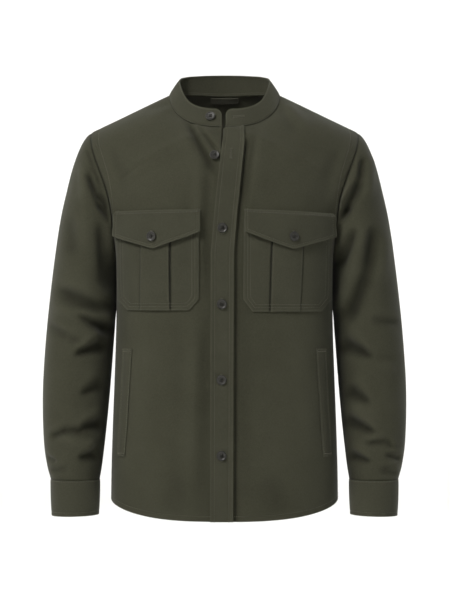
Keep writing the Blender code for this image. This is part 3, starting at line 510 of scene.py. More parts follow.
def smooth(knots, values, at):
    """A cubic curve through the values, with each slope taken from the neighbouring knots."""
    slopes = np.gradient(values, knots)
    at = np.clip(np.asarray(at, float), knots[0], knots[-1])
    i = np.clip(np.searchsorted(knots, at, side="right") - 1, 0, len(knots) - 2)
    span = knots[i + 1] - knots[i]
    t = (at - knots[i]) / span
    rise = values[i + 1] - values[i]
    start = slopes[i] * span
    end = slopes[i + 1] * span
    return values[i] + t * (start + t * (3 * rise - 2 * start - end + t * (start + end - 2 * rise)))


def read(rows, key, column, at):
    return smooth(rows[key], rows[column], at)


def straight(rows, key, column, at):
    """Straight lines between rows, whichever way the key runs."""
    order = np.argsort(rows[key])
    return np.interp(at, rows[key][order], rows[column][order])


def unit(vectors):
    return vectors / np.maximum(np.linalg.norm(vectors, axis=-1, keepdims=True), 1e-9)


def body_or(level, body_column, rows, key, column, at):
    """A column of BODY below the underarm, and one of another table above it."""
    return np.where(level <= 1, read(BODY, "level", body_column, level), read(rows, key, column, at))


class Half:
    """The measurements of one half of the front or of the back."""

    def __init__(self, centre, armhole, form, depth, neck_level, neck_stations):
        self.centre = centre
        self.armhole = armhole
        self.form = form
        self.depth = depth
        self.neck_level = neck_level
        self.neck_stations = neck_stations

    def inner_edge(self, level):
        """The centre line, and above the neck level the neck seam up to the shoulder point."""
        along = (level - self.neck_level) / (2 - self.neck_level)
        start, end = self.neck_stations
        station = start + np.clip(along, 0, 1) * (end - start)
        on_neck = level > self.neck_level
        x = np.where(on_neck, read(NECK, "station", "base_x", station), 0)
        y = body_or(level, self.depth, self.centre, "level", "y", level)
        y = np.where(on_neck, read(NECK, "station", "base_y", station), y)
        z = body_or(level, "centre_z", self.centre, "level", "z", level)
        z = np.where(on_neck, read(NECK, "station", "base_z", station), z)
        return x, y, z

    def outer_edge(self, level):
        """The side seam, and above the underarm the armhole seam."""
        along = np.clip(level - 1, 0, 1)
        x = body_or(level, "side_x", self.armhole, "along", "x", along)
        y = np.where(level <= 1, 0, read(self.armhole, "along", "y", along))
        z = body_or(level, "side_z", self.armhole, "along", "z", along)
        return x, y, z

    def point(self, level, across):
        """Points at a level and a share of the way from the centre (0) to the side (1)."""
        level = np.asarray(level, float)
        across = np.asarray(across, float)
        x0, y0, z0 = self.inner_edge(level)
        x1, y1, z1 = self.outer_edge(level)
        below = level <= 1
        square = body_or(level, "square", self.form, "level", "square", level)
        share = np.minimum(np.abs(across), 1)
        rest = np.minimum(np.abs(y1) / np.maximum(np.abs(y0), 1), MOST_REST)
        rest = np.where(level < 1.6, rest, MOST_REST)
        turn = (1 - rest**square) ** (1 / square)
        bend = (1 - (1 - (turn * share) ** square) ** (1 / square)) / (1 - rest)
        arched = 0.5 * share**3 + 0.5 * bend
        arch = np.interp(level, (1, 1.25, 1.5, 1.6), (1, 0.6, 0.2, 0))
        lift = arch * arched + (1 - arch) * share
        hump = 4 * share * (1 - share)
        crown_y = np.where(below, 0, read(self.form, "level", "crown_y", level)) * hump
        crown_z = np.where(below, 0, read(self.form, "level", "crown_z", level)) * hump
        x = x0 + (x1 - x0) * across
        y = y0 + (y1 - y0) * bend + np.sign(y0) * crown_y
        z = z0 + (z1 - z0) * lift + crown_z
        return np.stack([x, y, z], -1)

    def normal(self, level, across):
        """The direction out of the cloth."""
        step = 0.004
        low = np.clip(level - step, 0, 2)
        high = np.clip(level + step, 0, 2)
        near = np.clip(across - step, -0.5, 0.999)
        far = np.clip(across + step, -0.5, 0.999)
        up = self.point(high, across) - self.point(low, across)
        out = self.point(level, far) - self.point(level, near)
        direction = unit(np.cross(out, up))
        return direction if self.depth == "front_y" else -direction

    def find(self, x, z, top_level):
        """The level and share of the point of the panel at a given x and z, below top_level."""
        low = np.zeros_like(np.asarray(x, float))
        high = np.full_like(low, top_level)
        for _ in range(30):
            level = (low + high) / 2
            x0 = self.inner_edge(level)[0]
            x1 = self.outer_edge(level)[0]
            across = np.clip((x - x0) / (x1 - x0), -0.3, 1)
            above = self.point(level, across)[..., 2] > z
            high = np.where(above, level, high)
            low = np.where(above, low, level)
        return level, across


FRONT = Half(FRONT_CENTRE, FRONT_ARMHOLE, FRONT_FORM, "front_y", 1.5, (0, 1))
BACK = Half(BACK_CENTRE, BACK_ARMHOLE, BACK_FORM, "back_y", 1.6667, (2, 1))


def fold_height(folds, across, along):
    """How far the folds lift the cloth at the given places."""
    names = FOLD_COLUMNS.split()
    total = np.zeros_like(across, dtype=float)
    for values in zip(*(folds[name] for name in names)):
        from_a, from_b, to_a, to_b, from_half, to_half, height = values
        run = np.array([to_a - from_a, to_b - from_b])
        square = np.array([-run[1], run[0]]) / np.hypot(*run)
        if square[1] < 0:
            square = -square
        share = ((across - from_a) * run[0] + (along - from_b) * run[1]) / (run @ run)
        t = np.clip(share, 0, 1)
        half = from_half + (to_half - from_half) * t
        off_a = across - from_a - t * run[0]
        off_b = along - from_b - t * run[1]
        away = np.hypot(off_a, off_b) / half
        above = (off_a * square[0] + off_b * square[1]) / half
        fade = np.clip(np.minimum(share + 0.15, 1.15 - share) / 0.4, 0, 1)
        fade = fade * fade * (3 - 2 * fade)
        lip = np.exp(-((above - 1.7) ** 2) - np.maximum(away**2 - above**2, 0))
        total = total + height * fade * (np.exp(-(away**2)) - LIP_SHARE * lip)
    return total


def step_between(low, high, at):
    t = np.clip((at - low) / (high - low), 0, 1)
    return t * t * (3 - 2 * t)


def mirrored(points, side):
    return points * np.array([side, 1, 1])


def lengths(grid, axis):
    """Lengths along the rows (axis 1) or columns (axis 0) of a grid of points, from its first one."""
    steps = np.linalg.norm(np.diff(grid, axis=axis), axis=-1)
    start = np.zeros_like(np.take(steps, [0], axis=axis))
    return np.concatenate([start, np.cumsum(steps, axis=axis)], axis=axis)


def from_end(measured, axis):
    """The same lengths measured from the last point."""
    return np.take(measured, [-1], axis=axis) - measured


def dent(distance, *rows):
    """The depth that sewn rows pull a surface in, at a distance from an edge."""
    return -DENT_DEPTH * sum(np.exp(-(((distance - row) / DENT_HALF) ** 2)) for row in rows)


def trace(grids, measured, value):
    """The points of some grids where a length that grows along each row reaches a value."""
    values = np.broadcast_to(value, len(measured))
    lines = []
    for grid in grids:
        line = [
            [np.interp(values[i], measured[i], grid[i, :, k]) for k in range(3)]
            for i in range(len(grid))
        ]
        lines.append(np.array(line))
    return lines


def flipped(grids):
    """The grids with rows and columns exchanged."""
    return [np.swapaxes(grid, 0, 1) for grid in grids]


# Steps from an edge inwards that draw its sewn rows, in millimetres.
EDGE_MARKS = (0.0, 0.5, 1.1, 1.8, 2.5, 3.3, 4.4, 5.6, 6.6, 7.5, 8.4, 9.6, 11.2)


def marks(length, step, at_start=True, at_stop=True):
    """Shares from 0 to 1 along a length, closer together near its marked ends."""
    start = np.array(EDGE_MARKS if at_start else (0.0,))
    stop = length - np.array(EDGE_MARKS if at_stop else (0.0,))[::-1]
    if start[-1] >= stop[0]:
        return np.linspace(0, 1, max(int(length / 1.2), 4) + 1)
    count = max(int(round((stop[0] - start[-1]) / step)), 1)
    middle = np.linspace(start[-1], stop[0], count + 1)[1:-1]
    return np.concatenate([start, middle, stop]) / length


def even_columns(half, levels, starts, first_stop, first_steps, steps):
    """Shares across each row. The first few columns lie within first_stop millimetres of the edge."""
    shares = []
    for level, start in zip(levels, starts):
        dense = start + (1 - start) * np.sin(np.linspace(0, np.pi / 2, 200)) ** 0.8
        run = half.point(np.full_like(dense, level), dense)
        length = np.concatenate([[0], np.cumsum(np.linalg.norm(np.diff(run, axis=0), axis=1))])
        near = np.linspace(0, min(first_stop, length[-1] / 3), first_steps + 1)
        far = np.linspace(near[-1], length[-1], steps - first_steps + 1)[1:]
        shares.append(np.interp(np.concatenate([near, far]), length, dense))
    return np.array(shares)


def seam_directions(levels, directions):
    """Directions out of the cloth, kept from leaning over the seams that a panel shares."""
    directions = directions.copy()
    ridge = levels >= 2 - 1e-6
    directions[ridge, :, 1] = 0
    side = levels <= 1 + 1e-6
    directions[side, -1, 1] = 0
    directions[~side, -1, 0] = np.maximum(directions[~side, -1, 0], 0)
    return unit(directions)


def seam_fade(level, across):
    """Takes the folds to nothing at the shoulder seam, the armhole and the side seam."""
    return step_between(0, 0.1, 2 - level) * (1 - np.clip(across, 0, 1) ** 24)


def overlap_shift(x):
    """How far the left front stands forward, to lie over the right one."""
    return FRONT_OVERLAP * (1 - step_between(22, 80, x))


def front_fold(side, level, across):
    """How far the folds lift a front."""
    points = FRONT.point(level, across)
    folds = RIGHT_FOLDS if side == RIGHT else LEFT_FOLDS
    return fold_height(folds, points[..., 0], points[..., 2]) * seam_fade(level, across)


def front_surface(side, level, across):
    """Outer points of a front, with its folds, and the directions out of it (in own +x)."""
    directions = FRONT.normal(level, across)
    points = FRONT.point(level, across) + directions * front_fold(side, level, across)[..., None]
    if side == LEFT:
        points[..., 1] -= overlap_shift(points[..., 0])
    points[..., 1] -= SEAM_GAP / 2
    return points, directions


def front_edge(side, level):
    """Share across of the front edge of a front at each level."""
    z = FRONT.inner_edge(level)[2]
    rows = RIGHT_EDGE if side == RIGHT else PLACKET_EDGE
    x = straight(rows, "z", "x", z) * side
    return np.where(level > FRONT.neck_level + 1e-6, 0, x / FRONT.outer_edge(level)[0])


def on_front(side, x, z, out, top_level=FRONT.neck_level):
    """Points over a front at own x and z, moved out of the cloth, and the directions out of it."""
    level, across = FRONT.find(x, z, top_level)
    points, directions = front_surface(side, level, across)
    points = points + directions * np.asarray(out, float)[..., None]
    return mirrored(points, side), mirrored(directions, side)


def ring_point(rows, ring, angle):
    """Points round a sleeve or cuff. The angle is 0 at the outer side and 90 at the front."""
    turn = np.radians(angle)
    outer = np.stack([read(rows, "ring", "outer_x", ring), read(rows, "ring", "outer_z", ring)], -1)
    inner = np.stack([read(rows, "ring", "inner_x", ring), read(rows, "ring", "inner_z", ring)], -1)
    flat = (outer + inner) / 2 + (outer - inner) / 2 * np.cos(turn)[..., None]
    front = read(rows, "ring", "front", ring)
    back = read(rows, "ring", "back", ring)
    depth = np.where(np.sin(turn) > 0, front, back)
    y = read(rows, "ring", "middle_y", ring) - depth * np.sin(turn)
    return np.stack([flat[..., 0], y, flat[..., 1]], -1)


def armhole_point(angle):
    """The armhole's seam round the sleeve, from the shoulder down the front and up the back."""
    front = np.stack(FRONT.outer_edge(2 - np.minimum(angle, 180) / 180), -1)
    front[..., 1] -= SEAM_GAP / 2 * step_between(0, 8, angle)
    back = np.stack(BACK.outer_edge(1 + np.clip(angle - 180, 0, 180) / 180), -1)
    back[..., 1] += SEAM_GAP / 2 * step_between(0, 8, 360 - angle)
    return np.where((angle <= 180)[..., None], front, back)


def sleeve_surface(ring, angle):
    """Points of a sleeve at +x. It leaves the armhole seam along the seam's own loop."""
    points = ring_point(SLEEVE, ring, angle)
    start = ring_point(SLEEVE, np.zeros_like(ring), angle)
    share = (1 - step_between(0, 3, ring))[..., None]
    return points + (armhole_point(angle) - start) * share


def grid_directions(points, round_piece):
    """Directions square to a grid of points, from its neighbours."""
    if round_piece:
        along = np.roll(points, -1, 1) - np.roll(points, 1, 1)
    else:
        along = np.gradient(points, axis=1)
    down = np.gradient(points, axis=0)
    return unit(np.cross(along, down))


def outwards(directions, points, middle):
    """The directions, turned as a whole to point away from the middle."""
    return directions * np.sign(np.sum(directions * (points - middle)))


def inset(corners, distance):
    """An outline of straight stretches, moved to its left side by a distance."""
    corners = np.array(corners, float)
    steps = np.diff(corners, axis=0)
    square = unit(np.stack([-steps[:, 1], steps[:, 0]], 1))
    before = np.concatenate([square[:1], square])
    after = np.concatenate([square, square[-1:]])
    turn = 1 + np.sum(before * after, axis=1, keepdims=True)
    return corners + distance * (before + after) / turn


def along_outline(corners, step=2.0):
    """Points every few millimetres along an outline."""
    run = np.concatenate([[0], np.cumsum(np.linalg.norm(np.diff(corners, axis=0), axis=1))])
    at = np.linspace(0, run[-1], max(int(run[-1] / step), 2) + 1)
    return np.stack([np.interp(at, run, corners[:, k]) for k in (0, 1)], 1)


def edge_distance(x, z, corners):
    """Distance of each place from an outline of straight stretches."""
    nearest = np.full(np.shape(x), 1e9)
    for (ax, az), (bx, bz) in zip(corners[:-1], corners[1:]):
        run = np.array([bx - ax, bz - az])
        t = np.clip(((x - ax) * run[0] + (z - az) * run[1]) / (run @ run), 0, 1)
        nearest = np.minimum(nearest, np.hypot(x - ax - t * run[0], z - az - t * run[1]))
    return nearest


def linear(code):
    """A colour for a shader from an sRGB hex value."""
    parts = [int(code[i : i + 2], 16) / 255 for i in (1, 3, 5)]
    return tuple(p / 12.92 if p <= 0.04045 else ((p + 0.055) / 1.055) ** 2.4 for p in parts)


def set_inputs(tree, made, inputs):
    """Gives a node's inputs their values, or links them to other sockets."""
    for name, value in inputs.items():
        if isinstance(value, bpy.types.NodeSocket):
            tree.links.new(value, made.inputs[name])
        else:
            made.inputs[name].default_value = value


def add_node(tree, kind, inputs=None, **settings):
    """A node with its settings, and its inputs as values or as links from other sockets."""
    made = tree.nodes.new(kind)
    for name, value in settings.items():
        setattr(made, name, value)
    set_inputs(tree, made, inputs or {})
    return made


def new_material(name):
    """An empty material, its tree, its shader and the sockets that give a place on the piece."""
    made = bpy.data.materials.new(name)
    made.use_nodes = True
    tree = made.node_tree
    place = add_node(tree, "ShaderNodeTexCoord").outputs
    return made, tree, tree.nodes["Principled BSDF"], place


def calculated(tree, operation, *values):
    """The result of a calculation on values and sockets."""
    inputs = dict(enumerate(values))
    return add_node(tree, "ShaderNodeMath", inputs, operation=operation).outputs[0]


def ranged(tree, value, low, high, start=0.0, end=1.0):
    """A value that goes from start to end while another goes from low to high."""
    inputs = {"Value": value, "From Min": low, "From Max": high, "To Min": start, "To Max": end}
    return add_node(tree, "ShaderNodeMapRange", inputs).outputs[0]


def clouds(tree, place, scale, detail=2.0, roughness=0.5, distortion=0.0):
    """Soft noise between 0 and 1. A larger scale gives finer grains."""
    inputs = {
        "Vector": place["Object"],
        "Scale": scale,
        "Detail": detail,
        "Roughness": roughness,
        "Distortion": distortion,
    }
    return add_node(tree, "ShaderNodeTexNoise", inputs).outputs["Fac"]


def blended(tree, share, first, second):
    """The colour between two others, by a share."""
    inputs = {0: share, 6: (*first, 1), 7: (*second, 1)}
    return add_node(tree, "ShaderNodeMix", inputs, data_type="RGBA").outputs[2]


def bumped(tree, height, strength, distance):
    """The direction of a surface with a small relief, whose depth is a distance in metres."""
    inputs = {"Height": height, "Strength": strength, "Distance": distance}
    return add_node(tree, "ShaderNodeBump", inputs).outputs[0]


def times(colour, factor):
    """A colour made darker or paler."""
    return [c * factor for c in colour]


def cotton_twill(name, colour, look):
    """Brushed cotton twill, coloured by piece dyeing: matt, with fine slanted ribs, a soft nap that
    catches light at grazing angles and faint unevenness of the dye. Its edge attribute paints paler
    turned edges (partly wear, partly painted highlight), painted highlight on fold ridges and painted
    shade."""
    made, tree, shader, place = new_material(name)
    # The real ribs are about 0.6 mm apart, too fine to show, so they are drawn coarser.
    turns = 2 * np.pi / (look.rib_pitch * MM)
    slope = (turns * 0.82, turns * 0.57, 0)
    slant = add_node(
        tree, "ShaderNodeVectorMath", {0: place["UV"], 1: slope}, operation="DOT_PRODUCT"
    )
    rib = calculated(tree, "SINE", slant.outputs["Value"])
    nap = clouds(tree, place, 1 / (2.2 * MM), detail=3.0, roughness=0.6)
    dye = clouds(tree, place, 1 / (70 * MM), detail=4.0, roughness=0.6)
    # The edge attribute is above zero on paler turned edges, partly wear and partly painted highlight, and
    # on fold ridges as painted highlight. Below zero it is painted shade in folds, seams, gutters and
    # slots and on the sleeves' side that faces the body.
    wear_and_painted_light = add_node(tree, "ShaderNodeAttribute", attribute_name="edge").outputs["Fac"]
    spread = ranged(tree, dye, 0.3, 0.7, -0.07, 0.07)
    fleck = ranged(tree, nap, 0.3, 0.7, -0.10, 0.10)
    ribbed = calculated(tree, "MULTIPLY_ADD", rib, 0.035, fleck)
    both = calculated(tree, "ADD", spread, ribbed)
    # Painted highlight: above zero the edge attribute moves the tone towards the paler edge colour.
    edged = calculated(tree, "MULTIPLY_ADD", wear_and_painted_light, 0.35, both)
    share = ranged(tree, edged, -0.3, 0.7)
    tone = blended(tree, share, times(colour, 0.74), look.edge_and_highlight_colour)
    # Painted shade: below zero the edge attribute darkens the colour further, down to 0.4 of it.
    deep = ranged(tree, wear_and_painted_light, -1.0, 0.0, 0.4)
    tone_with_painted_light = add_node(tree, "ShaderNodeVectorMath", {0: tone, 3: deep}, operation="SCALE")
    relief = calculated(tree, "MULTIPLY_ADD", rib, 0.35, nap)
    finish = {
        "Base Color": tone_with_painted_light.outputs[0],
        "Normal": bumped(tree, relief, 0.35, 0.25 * MM),
        "Roughness": 0.88,
        "Specular IOR Level": 0.25,
        "Sheen Weight": 0.12,
        "Sheen Roughness": 0.5,
    }
    set_inputs(tree, shader, finish)
    return made


def sewing_thread(name, colour):
    """Spun polyester thread, twisted: matt, with a faint gloss and a tone that changes along it."""
    made, tree, shader, place = new_material(name)
    # The real thread's twist is 0.3 mm long, too fine to show. The tone changes over 3.5 mm
    # instead, about from stitch to stitch.
    twist = add_node(
        tree,
        "ShaderNodeTexWave",
        {"Vector": place["Object"], "Scale": 0.628 / (6 * MM), "Distortion": 1.0},
        bands_direction="DIAGONAL",
    )
    tone = blended(tree, twist.outputs["Fac"], times(colour, 0.75), times(colour, 1.2))
    set_inputs(tree, shader, {"Base Color": tone, "Roughness": 0.65})
    return made


def cotton_tape(name, colour):
    """Herringbone cotton tape: matt, with ribs that run across it."""
    made, tree, shader, place = new_material(name)
    # The ribs of the real tape are 0.5 mm apart and are drawn at 1.2 mm.
    wave = {"Vector": place["Object"], "Scale": 0.314 / (1.2 * MM), "Distortion": 0.6}
    rib = add_node(tree, "ShaderNodeTexWave", wave).outputs["Fac"]
    finish = {
        "Base Color": blended(tree, rib, times(colour, 0.8), colour),
        "Normal": bumped(tree, rib, 0.3, 0.2 * MM),
        "Roughness": 0.85,
    }
    set_inputs(tree, shader, finish)
    return made


def polished_resin(name, colour):
    """Turned and polished polyester resin, like dark horn: glossy, with faint cloudy streaks."""
    made, tree, shader, place = new_material(name)
    streak = clouds(tree, place, 1 / (6 * MM), detail=3.0, distortion=1.5)
    finish = {
        "Base Color": blended(tree, ranged(tree, streak, 0.35, 0.7), colour, times(colour, 1.5)),
        "Roughness": 0.42,
        "IOR": 1.54,
        "Coat Weight": 0.15,
        "Coat Roughness": 0.25,
    }
    set_inputs(tree, shader, finish)
    return made


def studio_paper(name, colour):
    """Seamless background paper: matt and nearly white."""
    made, tree, shader, place = new_material(name)
    tone = blended(tree, clouds(tree, place, 6.0), times(colour, 0.985), colour)
    set_inputs(tree, shader, {"Base Color": tone, "Roughness": 0.95})
    return made


# The setting that gives each twill its colour.
TWILLS = {
    "body_twill": "body_colour",
    "trim_twill": "trim_colour",
    "reverse_twill": "inside_colour",
}


def material(kind):
    """The jacket's materials, made when first asked for."""
    found = bpy.data.materials.get(kind)
    if found:
        return found
    look = bpy.context.scene.jacket_cloth
    if kind in TWILLS:
        return cotton_twill(kind, getattr(look, TWILLS[kind]), look)
    if kind == "thread_topstitch":
        return sewing_thread(kind, bpy.context.scene.jacket_stitches.colour)
    if kind == "thread_button":
        return sewing_thread(kind, bpy.context.scene.jacket_buttons.thread_colour)
    if kind == "tape_loop":
        return cotton_tape(kind, look.tape_colour)
    if kind == "resin_button":
        return polished_resin(kind, bpy.context.scene.jacket_buttons.colour)
    return studio_paper(kind, bpy.context.scene.jacket_stage.paper_colour)


def link_object(name, data):
    """A new object in the scene, of a mesh, a light or a camera."""
    made = bpy.data.objects.new(name, data)
    bpy.context.scene.collection.objects.link(made)
    return made


def new_object(name, points, faces, kinds, face_kinds=None, face_uvs=None, edge=None):
    """A smooth mesh object from points in millimetres."""
    mesh = bpy.data.meshes.new(name)
    mesh.from_pydata((np.asarray(points) * MM).tolist(), [], faces)
    for kind in kinds:
        mesh.materials.append(material(kind))
    if face_kinds is not None:
        mesh.polygons.foreach_set("material_index", face_kinds)
    if face_uvs is not None:
        layer = mesh.uv_layers.new(name="UVMap")
        layer.data.foreach_set("uv", (face_uvs * MM).ravel())
    if edge is not None:
        mesh.attributes.new("edge", "FLOAT", "POINT").data.foreach_set("value", edge)
    mesh.shade_smooth()
    return link_object(name, mesh)


def settle(made):
    """Turns an object's modifiers into its mesh."""
    graph = bpy.context.evaluated_depsgraph_get()
    mesh = bpy.data.meshes.new_from_object(
        made.evaluated_get(graph), preserve_all_data_layers=True, depsgraph=graph
    )
    made.modifiers.clear()
    made.data = mesh


def cloth(name, outer, inner, kinds, edge=None, round_piece=False, joined_rows=0, bevel=0.45):
    """A closed cloth wall between two grids, with UVs in real lengths and softly turned edges. The
    halves of a piece with joined_rows meet in the middle of those rows and part above them."""
    rows, columns = outer.shape[:2]
    across, along = lengths(outer, 1), lengths(outer, 0)
    uv = np.stack([across - across.mean(axis=1, keepdims=True), along], -1)
    index = np.arange(rows * columns).reshape(rows, columns)
    shown = index.copy()
    if joined_rows:
        shown[:joined_rows, columns // 2] = shown[:joined_rows, columns // 2 - 1]
    if round_piece:
        shown = np.concatenate([shown, shown[:, :1]], 1)
        last = across[:, -1] + np.linalg.norm(outer[:, 0] - outer[:, -1], axis=-1)
        end = np.stack([last - across.mean(axis=1), along[:, 0]], -1)
        uv = np.concatenate([uv, end[:, None]], 1)
    keep = np.ones(shown.shape[1] - 1, bool)
    if joined_rows:
        keep[columns // 2 - 1] = False

    def quads(grid):
        corners = [grid[:-1, :-1], grid[:-1, 1:], grid[1:, 1:], grid[1:, :-1]]
        return np.stack(corners, 2)[:, keep].reshape(-1, 4, *grid.shape[2:])

    front, front_uv = quads(shown), quads(uv)
    behind = rows * columns
    starts, ends = front.ravel(), np.roll(front, -1, 1).ravel()
    start_uv = front_uv.reshape(-1, 2)
    end_uv = np.roll(front_uv, -1, 1).reshape(-1, 2)
    keys = np.minimum(starts, ends) * behind + np.maximum(starts, ends)
    _, back_to, counts = np.unique(keys, return_inverse=True, return_counts=True)
    rim = counts[back_to] == 1
    a, b = starts[rim], ends[rim]
    sides = np.stack([b, a, a + behind, b + behind], 1)
    drop = np.array([0, PANEL_WALL])
    side_uv = np.stack([end_uv[rim], start_uv[rim], start_uv[rim] - drop, end_uv[rim] - drop], 1)
    rear, rear_uv = front[:, ::-1] + behind, front_uv[:, ::-1]
    faces = np.concatenate([front, rear, sides])
    uvs = np.concatenate([front_uv, rear_uv, side_uv])
    face_kinds = np.zeros(len(faces), int)
    face_kinds[len(front) : 2 * len(front)] = len(kinds) - 1
    points = np.concatenate([outer.reshape(-1, 3), inner.reshape(-1, 3)])
    p = points[faces]
    volume = np.einsum("ij,ij", p[:, 0], np.cross(p[:, 1], p[:, 2]))
    volume += np.einsum("ij,ij", p[:, 0], np.cross(p[:, 2], p[:, 3]))
    if volume < 0:
        faces, uvs = faces[:, ::-1], uvs[:, ::-1]
    used, compact = np.unique(faces, return_inverse=True)
    points, faces = points[used], compact.reshape(faces.shape)
    # The edge values carry painted shade and highlight, and paler turned edges that are partly wear; the
    # inner face gets less of them.
    wear_and_painted_light = np.zeros(len(used))
    if edge is not None:
        wear_and_painted_light = np.concatenate([edge.ravel(), edge.ravel() * 0.3])[used]
    made = new_object(name, points, faces.tolist(), kinds, face_kinds, uvs, wear_and_painted_light)
    turned = made.modifiers.new("turned edges", "BEVEL")
    turned.width = bevel * MM
    turned.segments = 2
    turned.limit_method = "ANGLE"
    turned.angle_limit = np.radians(50)
    settle(made)
    return made


def declare(made, node, grid, round_piece=False):
    """Ties a cloth piece to its solid and hides the solid; its grid is not used."""
    if round_piece:
        grid = np.concatenate([grid, grid[:, :1]], 1)
    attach(made, "root")
    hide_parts(node)


# Sewn rows that the pieces leave for the topstitching: points and directions out of the cloth.
SEWN_ROWS = []
# Buttonholes: middle, direction out, direction along the slit.
BUTTONHOLES = []
# Tacks that hold the ends of the welts: points and directions out of the cloth.
TACKS = []


def sew(line):
    points, out = line
    SEWN_ROWS.append((points + out * 0.12, out))


# Materials of the right and the wrong side of a panel.
BODY_KINDS = ("body_twill", "reverse_twill")
# Steps along each panel below and above the underarm, and across it.
ROWS_BELOW = 118
ROWS_ABOVE = 96
COLUMNS = 78
PLACKET_COLUMNS = 16
# Rows close to the hem, in millimetres, and the length of a panel below the underarm.
HEM_MARKS = (0.0, 0.6, 2.0, 4.0, 6.3, 7.8, 9.0, 10.2, 11.8)
PANEL_LENGTH = 440.0


def panel_levels():
    low = np.array(HEM_MARKS) / PANEL_LENGTH
    middle = np.linspace(low[-1], 1, ROWS_BELOW - len(low) + 2)[1:]
    return np.concatenate([low, middle, np.linspace(1, 2, ROWS_ABOVE + 1)[1:]])


def armhole_row(levels):
    """Distance of the sewn row from the armhole seam, wider towards the shoulder."""
    return ARMHOLE_ROW + ARMHOLE_WIDER * step_between(1.3, 1.75, levels)


def near_edge(distance, reach=1.6):
    """1 on an edge, falling to nothing inside it. The material is paler there, partly as wear and partly
    as painted highlight, or darker at -1, as painted shade.
    """
    return np.exp(-((distance / reach) ** 2))


def shaded(fold):
    """Painted shade at the bottom of a trough and painted highlight on a ridge, by a fold's height."""
    return SHADE * np.clip(fold, *SHADE_HEIGHTS)


def above_underarm(levels):
    """0 below the underarm and 1 above it, for each row of a panel."""
    return step_between(1.0, 1.05, levels)[:, None]


def roll(distance):
    """How deep the cloth rolls into a seam."""
    return -SEAM_DEPTH * near_edge(distance, SEAM_HALF)


def front_grid(side):
    """Outer points and directions of a front, in its own +x, and how far its folds lift them."""
    levels = panel_levels()
    across = even_columns(
        FRONT, levels, front_edge(side, levels), PLACKET_WIDTH, PLACKET_COLUMNS, COLUMNS
    )
    level = np.repeat(levels[:, None], across.shape[1], 1)
    points, directions = front_surface(side, level, across)
    return points, seam_directions(levels, directions), front_fold(side, level, across)


def panel_relief(points, levels):
    """Dents of the rows sewn along a panel's hem, armhole and shoulder."""
    hem = lengths(points, 0)
    to_side = from_end(lengths(points, 1), 1)
    above = above_underarm(levels)
    row = armhole_row(levels)[:, None]
    relief = dent(hem, HEM_ROW) + dent(to_side, row) * above
    gathered = step_between(0, 2, to_side) * step_between(0, 2, row - to_side)
    gathered = gathered * step_between(9, 12, row)
    ripples = RIPPLE_DEPTH * gathered * np.sin(to_side * 2 * np.pi / RIPPLE_PITCH)
    relief = relief + roll(to_side) * above + ripples
    return relief + dent(from_end(hem, 0), SHOULDER_ROW) * step_between(1.6, 1.7, levels)[:, None]


def sew_panel(outer, directions, levels, shoulder=True):
    """Rows along a panel's hem, armhole and shoulder seam."""
    along = lengths(outer, 0)
    sew(trace(flipped([outer, directions]), along.T, HEM_ROW))
    above = levels > 1.03
    across = lengths(outer, 1)[above]
    row = across[:, -1] - armhole_row(levels[above])
    sew(trace([outer[above], directions[above]], across, row))
    if shoulder:
        sew(trace(flipped([outer, directions]), along.T, along[-1] - SHOULDER_ROW))


def build_front(side):
    name = "front_" + SIDE_NAMES[side]
    levels = panel_levels()
    points, directions, fold = front_grid(side)
    relief = panel_relief(points, levels)
    run, height = lengths(points, 1), lengths(points, 0)
    at_shoulder = step_between(1.9, 2, levels)[:, None]
    # Paler front edge and hem, partly wear and partly painted highlight; painted shade along the armhole
    # and shoulder seams; and the folds' painted shade and highlight.
    edge = near_edge(run) + 0.5 * near_edge(height)
    edge = edge - near_edge(from_end(run, 1), 1.4) * above_underarm(levels) + shaded(fold)
    edge = edge - near_edge(from_end(height, 0), 1.4) * at_shoulder
    if side == LEFT:
        high, low = GUTTER_DEPTH
        depth = low + (high - low) * step_between(*GUTTER_DEEPENS, levels)[:, None]
        beside = step_between(0, 1.2, run - PLACKET_WIDTH)
        gutter = beside * near_edge(run - PLACKET_WIDTH - GUTTER_AWAY, GUTTER_HALF)
        gutter = gutter * (1 - step_between(*GUTTER_ENDS, levels))[:, None]
        relief = relief - depth * gutter
        # Painted shade in the gutter.
        edge = edge - GUTTER_SHADE * gutter
    points = points + directions * relief[..., None]
    outer, out = mirrored(points, side), mirrored(directions, side)
    made = cloth(name + "_cloth", outer, outer - out * PANEL_WALL, BODY_KINDS, edge)
    declare(made, name, outer)
    sew_panel(outer, out, levels)


